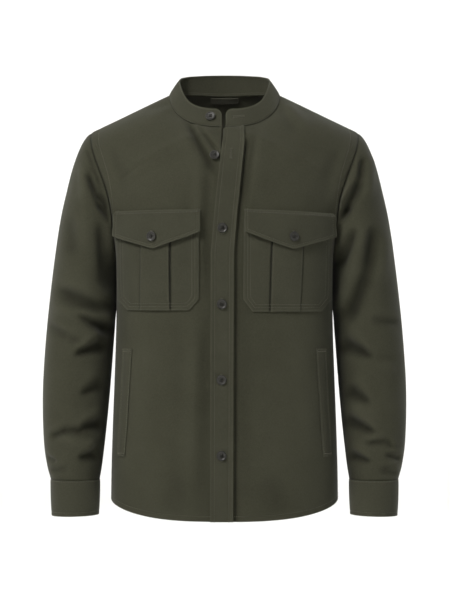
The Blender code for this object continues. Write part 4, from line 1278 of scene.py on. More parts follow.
def build_placket():
    """The strip over the first columns of the left front. Its top runs along the neck seam."""
    points, directions, _ = front_grid(LEFT)
    last_level, highest = PLACKET_LEVELS
    rows = int(np.sum(panel_levels() <= last_level))
    base, out = points[:rows, : PLACKET_COLUMNS + 1], directions[:rows, : PLACKET_COLUMNS + 1]
    x, low = base[-1, :, 0], base[-1, :, 2]
    in_front = NECK["station"] <= 1
    station = np.interp(x, NECK["base_x"][in_front], NECK["station"][in_front])
    high = read(NECK, "station", "base_z", station) - SEAM_GAP
    share = np.linspace(0, 1, 9)[1:, None]
    level, across = FRONT.find(x + 0 * share, low + (high - low) * share, highest)
    top, top_out = front_surface(LEFT, level, across)
    base, out = np.concatenate([base, top]), np.concatenate([out, top_out])
    width = lengths(base, 1)
    relief = dent(width, PLACKET_ROW) + dent(from_end(width, 1), PLACKET_ROW)
    rim = near_edge(width, PLACKET_RIM_HALF) + near_edge(from_end(width, 1), PLACKET_RIM_HALF)
    relief = relief + LAYER_GAP + PANEL_WALL + PLACKET_RIM * rim
    outer = base + out * relief[..., None]
    # Paler long edges, partly wear and partly painted highlight.
    edge = near_edge(width) + near_edge(from_end(width, 1))
    made = cloth("placket_cloth", outer, base + out * LAYER_GAP, ("trim_twill",), edge)
    declare(made, "placket", outer)
    sew(trace([outer, out], width, PLACKET_ROW))
    sew(trace([outer, out], width, width[:, -1] - PLACKET_ROW))
    over = LAYER_GAP + PANEL_WALL + 0.4
    for x, z in (*PLACKET_BUTTONS, UNDONE_BUTTONHOLE):
        middle, away = on_front(LEFT, np.array(x), np.array(z), over)
        BUTTONHOLES.append((middle, away, np.array([0, 0, 1.0])))


def build_back():
    levels = panel_levels()
    starts = np.zeros_like(levels)
    across = even_columns(BACK, levels, starts, PLACKET_WIDTH, PLACKET_COLUMNS, COLUMNS)
    level = np.repeat(levels[:, None], across.shape[1], 1)
    halves = []
    shades = []
    for side in (RIGHT, LEFT):
        points = BACK.point(level, across)
        directions = seam_directions(levels, BACK.normal(level, across))
        fold = fold_height(BACK_FOLDS, points[..., 0] * side, points[..., 2]) * seam_fade(level, across)
        shades.append(shaded(fold))
        fold = fold + panel_relief(points, levels)
        points = points + directions * fold[..., None]
        points[..., 1] += SEAM_GAP / 2
        outer, out = mirrored(points, side), mirrored(directions, side)
        sew_panel(outer, out, levels, shoulder=False)
        halves.append((outer, out))
    outer = np.concatenate([halves[0][0][:, ::-1], halves[1][0]], 1)
    out = np.concatenate([halves[0][1][:, ::-1], halves[1][1]], 1)
    joined = int(np.sum(levels <= BACK.neck_level + 1e-3))
    # Paler hem, partly wear and partly painted highlight, and the folds' painted shade and highlight.
    edge = 0.5 * near_edge(lengths(outer, 0)) + np.concatenate([shades[0][:, ::-1], shades[1]], 1)
    inner = outer - out * PANEL_WALL
    made = cloth("back_cloth", outer, inner, BODY_KINDS, edge, joined_rows=joined)
    declare(made, "back", outer)


def build_sleeve(side):
    name = "sleeve_" + SIDE_NAMES[side]
    count = 112
    rings = np.concatenate([[0, 0.1, 0.25, 0.45, 0.7], np.linspace(1, SLEEVE["ring"][-1], 150)])
    ring, angle = np.meshgrid(rings, np.arange(count) * 360 / count, indexing="ij")
    points = sleeve_surface(ring, angle)
    middle = points.mean(axis=1, keepdims=True)
    out = outwards(grid_directions(points, True), points, middle)
    facing = np.sin(np.radians(angle))
    x, z = points[..., 0], points[..., 2]
    fold = fold_height(SLEEVE_FRONT_FOLDS[side], x, z) * step_between(0.0, 0.35, facing)
    fold = fold + fold_height(SLEEVE_BACK_FOLDS[side], x, z) * step_between(0.0, 0.35, -facing)
    fold = SLEEVE_DEPTH * fold * step_between(0, 0.6, ring) * (1 - step_between(12.4, 13, ring))
    fold = fold + roll(lengths(points, 0))
    points = points + out * fold[..., None]
    # The upper arm presses against the body.
    touching = step_between(0.2, 1, ring) * (1 - step_between(5.0, 6.0, ring))
    points[..., 0] -= PRESSED * touching * np.clip(-np.cos(np.radians(angle)), 0, 1) ** 6
    points[..., 0] += SEAM_GAP * step_between(0, 0.5, ring) - SEAM_REACH * (1 - step_between(0, 0.5, ring))
    out = outwards(grid_directions(points, True), points, middle)
    out[0, :, 0] = np.minimum(out[0, :, 0], 0)
    out = unit(out)
    outer = mirrored(points, side)
    inner = outer - mirrored(out, side) * PANEL_WALL
    # Painted shade along the armhole seam and where the sleeve goes into the cuff.
    edge = -1.0 * near_edge(lengths(points, 0)) - 0.5 * near_edge(from_end(lengths(points, 0), 0))
    # Painted shade on the side that faces the body.
    facing_body = np.clip(-np.cos(np.radians(angle)), 0, 1) ** 3 * step_between(0.5, 2.5, ring)
    edge = edge + shaded(fold) - BODY_SIDE_SHADE * facing_body
    made = cloth(name + "_cloth", outer, inner, BODY_KINDS, edge, round_piece=True)
    declare(made, name, outer, round_piece=True)


# The cuff's length round the wrist, its height and the spacing of its mesh, in millimetres.
CUFF_LENGTH = 270.0
CUFF_HEIGHT = 58.0
CUFF_SPACING = 2.4
# The turn after the lower end's start, in degrees, over which the upper end rises over it.
CUFF_RISES = (300, 352)
# How far the upper end rises, and how far outside the cuff's rings the button's back sits.
CUFF_RISE = CUFF_WALL + 0.8
CUFF_BUTTON_OUT = CUFF_WALL + 2.0


def build_cuff(side):
    """A strip round the wrist whose upper end lies over its lower end, at the back."""
    name = "cuff_" + SIDE_NAMES[side]
    overlap = np.degrees(CUFF_OVERLAP / CUFF_RADIUS)
    start = CUFF_BUTTON_ANGLE - overlap / 2
    angles = start + (360 + overlap) * marks(CUFF_LENGTH, CUFF_SPACING)
    rings = CUFF["ring"][-1] * marks(CUFF_HEIGHT, CUFF_SPACING)
    ring, angle = np.meshgrid(rings, angles, indexing="ij")
    points = ring_point(CUFF, ring, np.mod(angle, 360))
    middle = (ring_point(CUFF, ring, 0 * angle) + ring_point(CUFF, ring, 0 * angle + 180)) / 2
    out = points - middle
    out[..., 2] = 0
    out = unit(out)
    raised = step_between(*CUFF_RISES, angle - start) * CUFF_RISE
    along, down = lengths(points, 1), lengths(points, 0)
    ends = np.minimum(along, from_end(along, 1))
    relief = dent(down, EDGE_ROW) + dent(from_end(down, 0), INNER_ROW - 1) + dent(ends, EDGE_ROW)
    relief = relief + 0.5 * np.sin(np.pi * down / down[-1:])
    points = points + out * (raised + relief)[..., None]
    points[..., 0] += SEAM_GAP
    outer, out = mirrored(points, side), mirrored(out, side)
    # Paler edges, partly wear and partly painted highlight.
    edge = near_edge(down) + near_edge(from_end(down, 0)) + near_edge(ends)
    inner = outer - out * CUFF_WALL
    made = cloth(name + "_cloth", outer, inner, ("trim_twill", "reverse_twill"), edge)
    declare(made, name, outer)
    down = lengths(outer, 0)
    sew(trace(flipped([outer, out]), down.T, EDGE_ROW))
    sew(trace(flipped([outer, out]), down.T, down[-1] - INNER_ROW + 1))
    seat = ring_point(CUFF, np.array(1.0), np.array(CUFF_BUTTON_ANGLE))
    inside = (ring_point(CUFF, np.array(1.0), 0.0) + ring_point(CUFF, np.array(1.0), 180.0)) / 2
    direction = unit((seat - inside) * [1, 1, 0])
    seat = seat + direction * CUFF_BUTTON_OUT
    seat[0] += SEAM_GAP
    seat, direction = mirrored(seat, side), mirrored(direction, side)
    build_button("button_cuff_" + SIDE_NAMES[side], seat, direction)
    slit = unit(np.cross(direction, (0, 0, 1.0)))
    BUTTONHOLES.append((seat - direction * 0.6, direction, slit))


# How far from the middle each end of the collar band stops.
COLLAR_ENDS = ((RIGHT, 5.0), (LEFT, 2.0))
# Distances of the collar's button and of its buttonhole from the band's ends.
COLLAR_BUTTON_RUN = 21.0
COLLAR_HOLE_RUN = 22.5


def neck_line(line, stations):
    """Points at some stations of the neck's base or top line."""
    return np.stack([read(NECK, "station", line + k, stations) for k in ("_x", "_y", "_z")], -1)


def collar_lines():
    """The seam and the top edge of the collar band, from the right front's end to the left's."""
    near_end = [0, 0.01, 0.03, 0.07, 0.13, 0.2, 0.28]
    shares = np.concatenate([near_end, np.linspace(0.36, 1, 14)])
    first = NECK["station"][1]
    stations = np.concatenate([shares * first, np.linspace(first, 1, 60)[1:]])
    lines = []
    for side, edge_x in COLLAR_ENDS:
        own = np.maximum(1 - stations / first, 0)
        base = neck_line("base", stations)
        end_x = edge_x + (NECK["base_x"][1] - edge_x) * (1 - own)
        base[:, 0] = np.where(own > 0, end_x, base[:, 0])
        base[:, 1] -= SEAM_GAP / 2 * (1 - stations)
        if side == LEFT:
            base[:, 1] -= overlap_shift(base[:, 0])
        top = neck_line("top", stations)
        top[:, 0] += edge_x * own
        lines.append((mirrored(base, side), mirrored(top, side)))
    behind = np.linspace(1, 2, 80)[1:]
    back = [neck_line(line, behind) for line in ("base", "top")]
    whole = []
    for i in (0, 1):
        right, left = lines[0][i], lines[1][i]
        around = np.concatenate([mirrored(back[i], RIGHT), back[i][-2::-1]])
        whole.append(np.concatenate([right, around, left[::-1]]))
    return whole


def build_collar():
    base, top = collar_lines()
    run = lengths(base, 0)
    end = np.minimum(run, run[-1] - run)
    height = np.linalg.norm(top - base, axis=1)
    drop = COLLAR_CORNER - np.sqrt(COLLAR_CORNER**2 - np.maximum(COLLAR_CORNER - end, 0) ** 2)
    rise = marks(height.max(), 2.2)[:, None, None]
    # The band reaches past the seam, so that no light shows through it.
    lift = -SEAM_REACH * (top - base) / height[:, None]
    points = base + lift + (top - base) * (1 - drop / height)[:, None] * rise
    out = grid_directions(points, False)
    out = outwards(out, points * [1, 1, 0], 0)
    down = lengths(points, 0)
    upper = from_end(down, 0)
    side_distance = end + 0 * down
    rim = np.minimum(upper, side_distance)
    relief = 1.2 * np.sin(np.pi * rise[..., 0]) + dent(down, EDGE_ROW) + dent(rim, EDGE_ROW)
    inner = points + out * (relief - COLLAR_WALL)[..., None]
    outer = points + out * (relief + COLLAR_STEP * near_edge(down, COLLAR_STEP_HALF))[..., None]
    # Paler rim, partly wear and partly painted highlight, and painted shade along the seam under the band.
    edge = near_edge(rim, 2.0) - near_edge(down, 1.2)
    made = cloth("collar_band_cloth", outer, inner, ("trim_twill", "trim_twill"), edge)
    declare(made, "collar_band", outer)
    for grid, away in ((outer, out), (inner, -out)):
        sew(trace(flipped([grid, away]), lengths(grid, 0).T, EDGE_ROW))
        inside = (end > EDGE_ROW) & (lengths(grid, 0)[-1] > 6)
        tall = lengths(grid[:, inside], 0)
        sew(trace(flipped([grid[:, inside], away[:, inside]]), tall.T, tall[-1] - EDGE_ROW))
    sew(trace(flipped([inner, -out]), lengths(inner, 0).T, EDGE_ROW + 3.2))
    middle = len(outer) // 2
    column = int(np.argmin(np.abs(run - COLLAR_BUTTON_RUN)))
    seat, away = outer[middle, column], unit(out[middle, column])
    build_button("button_collar", seat + away * 0.9, away)
    column = int(np.argmin(np.abs(run - (run[-1] - COLLAR_HOLE_RUN))))
    seat, away = outer[middle, column], unit(out[middle, column])
    slit = unit(outer[middle, column - 3] - outer[middle, column + 3])
    BUTTONHOLES.append((seat + away * 0.1, away, slit))


def patch(name, side, x, z, low, high, edge):
    """A trim piece over a front, between two heights over the front's cloth."""
    outside, _ = on_front(side, x, z, high)
    inside, _ = on_front(side, x, z, low)
    made = cloth(name + "_cloth", outside, inside, ("trim_twill",), edge)
    declare(made, name, outside)


def sew_on_front(side, line, height):
    """Sews along places over a front, at the height that a function gives."""
    x, z = line[:, 0], line[:, 1]
    sew(on_front(side, x, z, height(side, x, z)))


def pocket_outline(side):
    """Down the pocket's inner edge, along its lower one and up the outer one."""
    rows = POCKETS[side]
    down = np.stack([rows["inner"], rows["z"]], 1)
    up = np.stack([rows["outer"], rows["z"]], 1)[::-1]
    return np.concatenate([down, up])


def pleat_slot(past):
    """1 in the narrow gap along the pleat's inner fold."""
    return near_edge(past + SLOT_AWAY, SLOT_HALF)


def pocket_rise(side, x, z):
    """Height of the pocket's outer face over the front, with its pleat and its sewn rows."""
    rows = POCKETS[side]
    fold_in = straight(rows, "z", "pleat_in", z)
    fold_out = straight(rows, "z", "pleat_out", z)
    pleat = step_between(-PLEAT_STEP, 0.2, x - fold_in) * step_between(-PLEAT_STEP, 0.2, fold_out - x)
    pleat = pleat * (0.88 + 0.12 * step_between(0, 9, np.minimum(x - fold_in, fold_out - x)))
    low = z - rows["z"][-1]
    pleat = pleat * (0.45 + 0.55 * step_between(8, 26, low))
    beside = near_edge(x - fold_in + 5, 3.5) + near_edge(x - fold_out - 5, 3.5)
    distance = edge_distance(x, z, pocket_outline(side))
    rise = POCKET_GAP + POCKET_WALL + PLEAT_HEIGHT * pleat - 0.25 * beside
    slot = pleat_slot(x - fold_in) * step_between(-PLEAT_STEP, 0, fold_in - x)
    rise = rise - SLOT_DEPTH * slot * (0.3 + 0.7 * step_between(10, 40, low))
    return rise + dent(distance, *POCKET_ROWS) + 0.3 * step_between(12, 40, distance) * (1 - pleat)


# Places of a pocket's mesh lines beside a fold of its pleat, on the pleat and in the slot beside
# it, and where the plain part before the slot ends, in millimetres.
PLEAT_MARKS = (-PLEAT_STEP, -0.8, -0.4, 0.0, 0.3, 1.2, 2.6, 4.5)
SLOT_MARKS = (-7.0, -5.5, -4.4, -3.5, -2.8, -2.2, -1.7)
SLOT_START = 8.5


def build_pocket(side):
    name = "pocket_" + SIDE_NAMES[side]
    rows = POCKETS[side]
    tall = rows["z"][0] - rows["z"][-1]
    z = rows["z"][0] - tall * marks(tall, 2.2, at_start=False)
    inner, outer, fold_in, fold_out = (
        straight(rows, "z", key, z)[:, None] for key in ("inner", "outer", "pleat_in", "pleat_out")
    )
    fold = np.array(PLEAT_MARKS)
    left = inner + (fold_in - SLOT_START - inner) * marks(42, 2.2, at_stop=False)
    left = np.concatenate([left, fold_in + SLOT_MARKS], 1)
    right = fold_out - fold[0] + (outer - fold_out + fold[0]) * marks(42, 2.2, at_start=False)[1:]
    crown = fold_out - fold_in - 2 * fold[-1]
    middle = fold_in + fold[-1] + crown * np.linspace(0, 1, 16)[1:-1]
    x = np.concatenate([left, fold_in + fold, middle, fold_out - fold[::-1], right], 1)
    z = z[:, None] + 0 * x
    distance = edge_distance(x, z, pocket_outline(side))
    # Paler pleat folds and edges, partly wear and partly painted highlight; painted shade in the slot
    # along the inner fold and beside the outer fold.
    folds = 0.6 * near_edge(x - fold_in - 0.6, 0.9) + 0.4 * near_edge(x - fold_out + 0.6, 0.9)
    folds = folds - 1.2 * pleat_slot(x - fold_in) - 0.6 * near_edge(x - fold_out - 1.6, 1.2)
    edge = near_edge(distance) + folds
    patch(name, side, x, z, POCKET_GAP + 0 * x, pocket_rise(side, x, z), edge)
    for distance in POCKET_ROWS:
        line = along_outline(inset(pocket_outline(side), distance))
        # The flap hides the top of the pocket.
        sew_on_front(side, line[line[:, 1] < rows["z"][0] - 8], pocket_rise)


def flap_outline(side):
    """Down the flap's inner edge, along its pointed edge and up the outer one."""
    rows = FLAPS[side]
    low = np.stack([rows["x"], rows["bottom"]], 1)
    start, end = [rows["x"][0], rows["top"][0]], [rows["x"][-1], rows["top"][-1]]
    return np.concatenate([[start], low, [end]])


def flap_edges(side, x):
    """Heights of the flap's sewn top and of its pointed edge."""
    rows = FLAPS[side]
    return np.interp(x, rows["x"], rows["top"]), np.interp(x, rows["x"], rows["bottom"])


def flap_rise(side, x, z):
    """Height of the flap's inner face over the front."""
    top, bottom = flap_edges(side, x)
    share = (top - z) / (top - bottom)
    return LAYER_GAP + FLAP_RISE * step_between(0, 0.15, share) + FLAP_SPRING * share**2


def flap_rim(side, x, z):
    """Distance from the nearest of the flap's edges."""
    top, _ = flap_edges(side, x)
    return np.minimum(edge_distance(x, z, flap_outline(side)), top - z)


def flap_out(side, x, z):
    """Height of the flap's outer face, with its sewn rows."""
    return flap_rise(side, x, z) + FLAP_WALL + dent(flap_rim(side, x, z), FLAP_ROW)


def build_flap(side):
    name = "flap_" + SIDE_NAMES[side]
    rows = FLAPS[side]
    wide = rows["x"][-1] - rows["x"][0]
    x = rows["x"][0] + wide * marks(wide, 2.2)[None]
    top, bottom = flap_edges(side, x)
    z = top + (bottom - top) * marks(50, 1.9)[:, None]
    x = x + 0 * z
    # Paler edges, partly wear and partly painted highlight.
    edge = near_edge(flap_rim(side, x, z), 2.0)
    patch(name, side, x, z, flap_rise(side, x, z), flap_out(side, x, z), edge)
    sew_on_front(side, along_outline(inset(flap_outline(side), FLAP_ROW)), flap_out)
    x = np.linspace(rows["x"][0] + FLAP_ROW, rows["x"][-1] - FLAP_ROW, 60)
    sew_on_front(side, np.stack([x, flap_edges(side, x)[0] - FLAP_ROW], 1), flap_out)
    x, z = FLAP_BUTTONS[side]
    x, z = np.array(x * side), np.array(z)
    seat, away = on_front(side, x, z, flap_out(side, x, z) + 0.7)
    build_button("button_flap_" + SIDE_NAMES[side], seat, away)
    hole, away = on_front(side, x, z, flap_out(side, x, z))
    BUTTONHOLES.append((hole, away, np.array([0, 0, 1.0])))


def welt_outline(side):
    """Round the welt, from the top of its outer edge and down its inner one."""
    rows = WELTS[side]
    corners = (("outer", 0), ("inner", 0), ("inner", -1), ("outer", -1), ("outer", 0))
    return np.array([(rows[edge][end], rows["z"][end]) for edge, end in corners])


def welt_rise(side, x, z):
    distance = edge_distance(x, z, welt_outline(side))
    return LAYER_GAP + WELT_WALL + dent(distance, EDGE_ROW) + 0.5 * step_between(2, 7, distance)


def build_welt(side):
    """The raised edge of a slanted hand pocket."""
    name = "welt_" + SIDE_NAMES[side]
    rows = WELTS[side]
    tall = rows["z"][0] - rows["z"][-1]
    z = (rows["z"][0] - tall * marks(tall, 2.5))[:, None]
    inner, outer = straight(rows, "z", "inner", z), straight(rows, "z", "outer", z)
    x = inner + (outer - inner) * np.linspace(0, 1, 20)
    z = z + 0 * x
    # Paler edges, partly wear and partly painted highlight.
    edge = near_edge(edge_distance(x, z, welt_outline(side)))
    patch(name, side, x, z, LAYER_GAP + 0 * x, welt_rise(side, x, z), edge)
    line = along_outline(inset(welt_outline(side), EDGE_ROW))
    sew_on_front(side, line[line[:, 1] <= rows["z"][0] - EDGE_ROW + 0.1], welt_rise)
    for z in (rows["z"][0] - 5, rows["z"][-1] + 5):
        inner, outer = straight(rows, "z", "inner", z), straight(rows, "z", "outer", z)
        x = np.linspace(inner + 1, outer - 1, 8)
        z = z + 0 * x
        points, away = on_front(side, x, z, welt_rise(side, x, z) + 0.1)
        TACKS.append((points, away))


def build_hanger_loop():
    """A short tape across the inside of the back, just under the neck seam."""
    share = np.linspace(-1, 1, 41)
    x = LOOP_WIDTH / 2 * share
    depth = np.linspace(0, 1, 11)[:, None]
    corner = np.sqrt(1 - np.clip((np.abs(share) - 0.86) / 0.16, 0, 1) ** 2)
    z = LOOP_TOP - LOOP_HEIGHT * depth * (0.45 + 0.55 * corner)
    x = x + 0 * z
    rows = NECK["station"] >= 1
    station = np.interp(np.abs(x), NECK["base_x"][rows][::-1], NECK["station"][rows][::-1])
    highest = BACK.neck_level + (2 - station) * (2 - BACK.neck_level)
    level, across = BACK.find(np.abs(x), z, highest)
    points, out = BACK.point(level, across), BACK.normal(level, across)
    sign = np.where(x < 0, -1, 1)
    points[..., 0] *= sign
    out[..., 0] *= sign
    near = points - out * (PANEL_WALL + 1.0)
    bow = 0.8 * (1 - share**2)[:, None]
    far = near - out * (1.4 + bow)
    made = cloth("hanger_loop_tape", far, near - out * bow * 0.8, ("tape_loop",), bevel=0.3)
    declare(made, "hanger_loop", far)


# A button's outer shape: shares of its radius and of its height, from the back over the rim.
BUTTON_PROFILE = (
    (0.62, 0.0),
    (0.80, 0.02),
    (0.93, 0.18),
    (0.99, 0.40),
    (1.00, 0.58),
    (0.975, 0.80),
    (0.93, 0.94),
    (0.87, 1.0),
    (0.81, 0.97),
    (0.75, 0.87),
    (0.69, 0.79),
    (0.60, 0.76),
)


# Points round the rim and round each hole, and the holes' distances and radius as shares of the
# button's radius.
RIM_POINTS = 48
HOLE_POINTS = 12
HOLE_SPREAD = 0.235
HOLE_SIZE = 0.115


def build_button(name, seat, direction):
    """A turned button with a raised rim, four holes and crossed thread, its back on the seat point."""
    look = bpy.context.scene.jacket_buttons
    radius, height = look.radius / MM, look.height / MM
    direction = unit(np.asarray(direction, float))
    side = unit(np.cross(direction, (0, 0, 1.0)))
    up = np.cross(side, direction)
    shape = bmesh.new()

    def ring(at, high, size, count):
        turns = 2 * np.pi * np.arange(count) / count
        return [
            shape.verts.new((at[0] + size * np.cos(t), at[1] + size * np.sin(t), high)) for t in turns
        ]

    def skin(first, second):
        for k in range(len(first)):
            n = (k + 1) % len(first)
            shape.faces.new((first[k], first[n], second[n], second[k]))

    rings = [ring((0, 0), h * height, r * radius, RIM_POINTS) for r, h in BUTTON_PROFILE]
    for first, second in zip(rings[:-1], rings[1:]):
        skin(first, second)
    spread, hole = radius * HOLE_SPREAD, radius * HOLE_SIZE
    tops, bottoms = [rings[-1]], [rings[0]]
    for a, b in ((1, 1), (-1, 1), (-1, -1), (1, -1)):
        high = ring((a * spread, b * spread), BUTTON_PROFILE[-1][1] * height, hole, HOLE_POINTS)
        low = ring((a * spread, b * spread), 0.0, hole, HOLE_POINTS)
        skin(high, low)
        tops.append(high)
        bottoms.append(low)
    for loops in (tops, bottoms):
        edges = []
        for loop in loops:
            for k in range(len(loop)):
                pair = (loop[k], loop[(k + 1) % len(loop)])
                edges.append(shape.edges.get(pair) or shape.edges.new(pair))
        bmesh.ops.triangle_fill(shape, use_beauty=True, use_dissolve=False, edges=edges)
    bmesh.ops.recalc_face_normals(shape, faces=shape.faces)
    turn = np.array([side, up, direction])
    for vert in shape.verts:
        vert.co = Vector(((np.array(vert.co) @ turn) + seat) * MM)
    mesh = bpy.data.meshes.new(name + "_resin")
    shape.to_mesh(mesh)
    shape.free()
    if sum((p.center - Vector(seat * MM)).dot(p.normal) * p.area for p in mesh.polygons) < 0:
        mesh.flip_normals()
    mesh.materials.append(material("resin_button"))
    mesh.shade_smooth()
    mesh.set_sharp_from_angle(angle=np.radians(40))
    made = link_object(name + "_resin", mesh)
    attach(made, "root")
    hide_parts(name)
    thread_cross(name + "_thread", seat, side, up, direction, spread, height)


def thread_cross(name, seat, side, up, direction, spread, height):
    """Two crossed bars of three threads each, from hole to hole over the button's dish."""
    floor = BUTTON_PROFILE[-1][1] * height
    reach = spread * 1.42
    thread = 0.42
    points, faces = [], []
    for a, b in ((1, 1), (-1, 1)):
        along = unit(side * a + up * b)
        square = np.cross(direction, along)
        for k in (-1, 0, 1):
            first = len(points)
            bend = np.linspace(-1, 1, 9)
            for t in bend:
                # The second bar lies over the first, and both dip into the holes.
                crown = 1.0 + thread + 0.35 * (a > 0) + 0.2
                high = floor - 1.0 + crown * min(1, 3.2 * (1 - abs(t)))
                centre = seat + along * t * reach + square * k * thread * 1.7 * (1 - 0.4 * t * t)
                centre = centre + direction * high
                for s in range(6):
                    turn = np.pi * s / 3
                    points.append(centre + thread * (square * np.cos(turn) + direction * np.sin(turn)))
            for i in range(len(bend) - 1):
                for s in range(6):
                    n = (s + 1) % 6
                    p = first + i * 6
                    faces.append((p + s, p + n, p + 6 + n, p + 6 + s))
            faces.append(tuple(first + s for s in range(6))[::-1])
            last = first + (len(bend) - 1) * 6
            faces.append(tuple(last + s for s in range(6)))
    made = new_object(name, points, faces, ("thread_button",))
    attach(made, "root")


def build_front_buttons():
    x, z = UNDONE_BUTTON
    seat, away = on_front(RIGHT, np.array(-x), np.array(z), 0.9)
    build_button("button_front_1", seat, away)
    over = LAYER_GAP + PANEL_WALL + 0.7
    for number, (x, z) in enumerate(PLACKET_BUTTONS, 2):
        seat, away = on_front(LEFT, np.array(x), np.array(z), over)
        build_button(f"button_front_{number}", seat, away)


def stitch_tree():
    """A node tree that lays stitches along sewn rows, by their spacing, size and turn."""
    tree = bpy.data.node_groups.new("lay_stitches", "GeometryNodeTree")
    tree.interface.new_socket("Geometry", in_out="INPUT", socket_type="NodeSocketGeometry")
    for name in ("Spacing", "Stitch length", "Stitch width", "Turn"):
        tree.interface.new_socket(name, in_out="INPUT", socket_type="NodeSocketFloat")
    tree.interface.new_socket("Thread", in_out="INPUT", socket_type="NodeSocketMaterial")
    tree.interface.new_socket("Geometry", in_out="OUTPUT", socket_type="NodeSocketGeometry")
    given = add_node(tree, "NodeGroupInput").outputs

    def made(kind, inputs=None, **settings):
        """The first output of a new node."""
        return add_node(tree, kind, inputs, **settings).outputs[0]

    rows = made("GeometryNodeMeshToCurve", {"Mesh": given["Geometry"]})
    spacing = {"Curve": rows, "Length": given["Spacing"]}
    spaced = made("GeometryNodeResampleCurve", spacing, mode="LENGTH")
    away = made("GeometryNodeInputNamedAttribute", {"Name": "out"}, data_type="FLOAT_VECTOR")
    run = made("GeometryNodeInputTangent")
    along = made("FunctionNodeAlignRotationToVector", {"Vector": run}, axis="X")
    facing = {"Rotation": along, "Vector": away}
    upright = made("FunctionNodeAlignRotationToVector", facing, axis="Z", pivot_axis="X")
    round_up = {"Axis": (0.0, 0.0, 1.0), "Angle": given["Turn"]}
    quarter = made("FunctionNodeAxisAngleToRotation", round_up)
    turning = {"Rotation": upright, "Rotate By": quarter}
    turned = made("FunctionNodeRotateRotation", turning, rotation_space="LOCAL")
    bead = made("GeometryNodeMeshUVSphere", {"Segments": 6, "Rings": 3, "Radius": 0.5})
    width, length = given["Stitch width"], given["Stitch length"]
    size = made("ShaderNodeCombineXYZ", {"X": width, "Y": width, "Z": length})
    scaled = made("GeometryNodeTransform", {"Geometry": bead, "Scale": size})
    tipped = {"Geometry": scaled, "Rotation": (0.0, np.pi / 2, 0.0)}
    lying = made("GeometryNodeTransform", tipped)
    smooth_bead = made("GeometryNodeSetShadeSmooth", {"Geometry": lying})
    laying = {"Points": spaced, "Instance": smooth_bead, "Rotation": turned}
    laid = made("GeometryNodeInstanceOnPoints", laying)
    real = made("GeometryNodeRealizeInstances", {"Geometry": laid})
    coloured = made("GeometryNodeSetMaterial", {"Geometry": real, "Material": given["Thread"]})
    add_node(tree, "NodeGroupOutput", {"Geometry": coloured})
    return tree


def lay_stitches(name, rows, spacing, length, width, turn):
    """Stitches along the rows, as one plain mesh."""
    points = np.concatenate([line for line, _ in rows])
    away = np.concatenate([out for _, out in rows])
    ends = np.cumsum([len(line) for line, _ in rows])
    last = set((ends - 1).tolist())
    edges = [(i, i + 1) for i in range(len(points)) if i not in last]
    mesh = bpy.data.meshes.new(name)
    mesh.from_pydata((points * MM).tolist(), edges, [])
    mesh.attributes.new("out", "FLOAT_VECTOR", "POINT").data.foreach_set("vector", away.ravel())
    made = link_object(name, mesh)
    tree = bpy.data.node_groups.get("lay_stitches") or stitch_tree()
    laid = made.modifiers.new("stitches", "NODES")
    laid.node_group = tree
    values = {
        "Spacing": spacing,
        "Stitch length": length,
        "Stitch width": width,
        "Turn": turn,
        "Thread": material("thread_topstitch"),
    }
    for item in tree.interface.items_tree:
        if item.item_type == "SOCKET" and item.name in values:
            laid[item.identifier] = values[item.name]
    settle(made)
    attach(made, "root")


def build_topstitching():
    look = bpy.context.scene.jacket_stitches
    lay_stitches("topstitching", SEWN_ROWS, look.spacing, look.length, look.thickness, 0.0)


# The close stitches of the buttonholes: spacing, length and thickness, the distance of their rows
# from the slit, and half the length of the bars across its ends, in millimetres.
HOLE_STITCH = (0.62, 2.1, 0.6)
HOLE_ROW = 1.25
HOLE_BAR = 2.2


def build_buttonholes():
    """Two rows of close stitches along each slit, a bar of them across each end, and the tacks."""
    look = bpy.context.scene.jacket_stitches
    rows, bars = [], []
    half = look.buttonhole / MM / 2
    for middle, away, slit in BUTTONHOLES:
        slit = unit(slit - away * np.dot(slit, away))
        square = np.cross(away, slit)
        at = np.linspace(-half, half, 12)[:, None]
        for side in (-1, 1):
            line = middle + away * 0.15 + square * side * HOLE_ROW + slit * at
            rows.append((line, np.repeat(away[None], len(line), 0)))
            across = np.linspace(-HOLE_BAR, HOLE_BAR, 4)[:, None]
            line = middle + away * 0.2 + slit * side * (half + 0.6) + square * across
            bars.append((line, np.repeat(away[None], len(line), 0)))
    spacing, length, thickness = (value * MM for value in HOLE_STITCH)
    rows = rows + bars + TACKS
    lay_stitches("buttonhole_stitches", rows, spacing, length, thickness, np.pi / 2)


def lit_area(name, place, aim, size, power, colour):
    """A large soft light that looks at a point."""
    data = bpy.data.lights.new(name, "AREA")
    data.shape = "RECTANGLE"
    data.size, data.size_y = size
    data.energy = power
    data.color = colour
    made = link_object(name, data)
    made.location = place
    made.rotation_euler = (Vector(aim) - Vector(place)).to_track_quat("-Z", "Y").to_euler()
    made.visible_camera = False


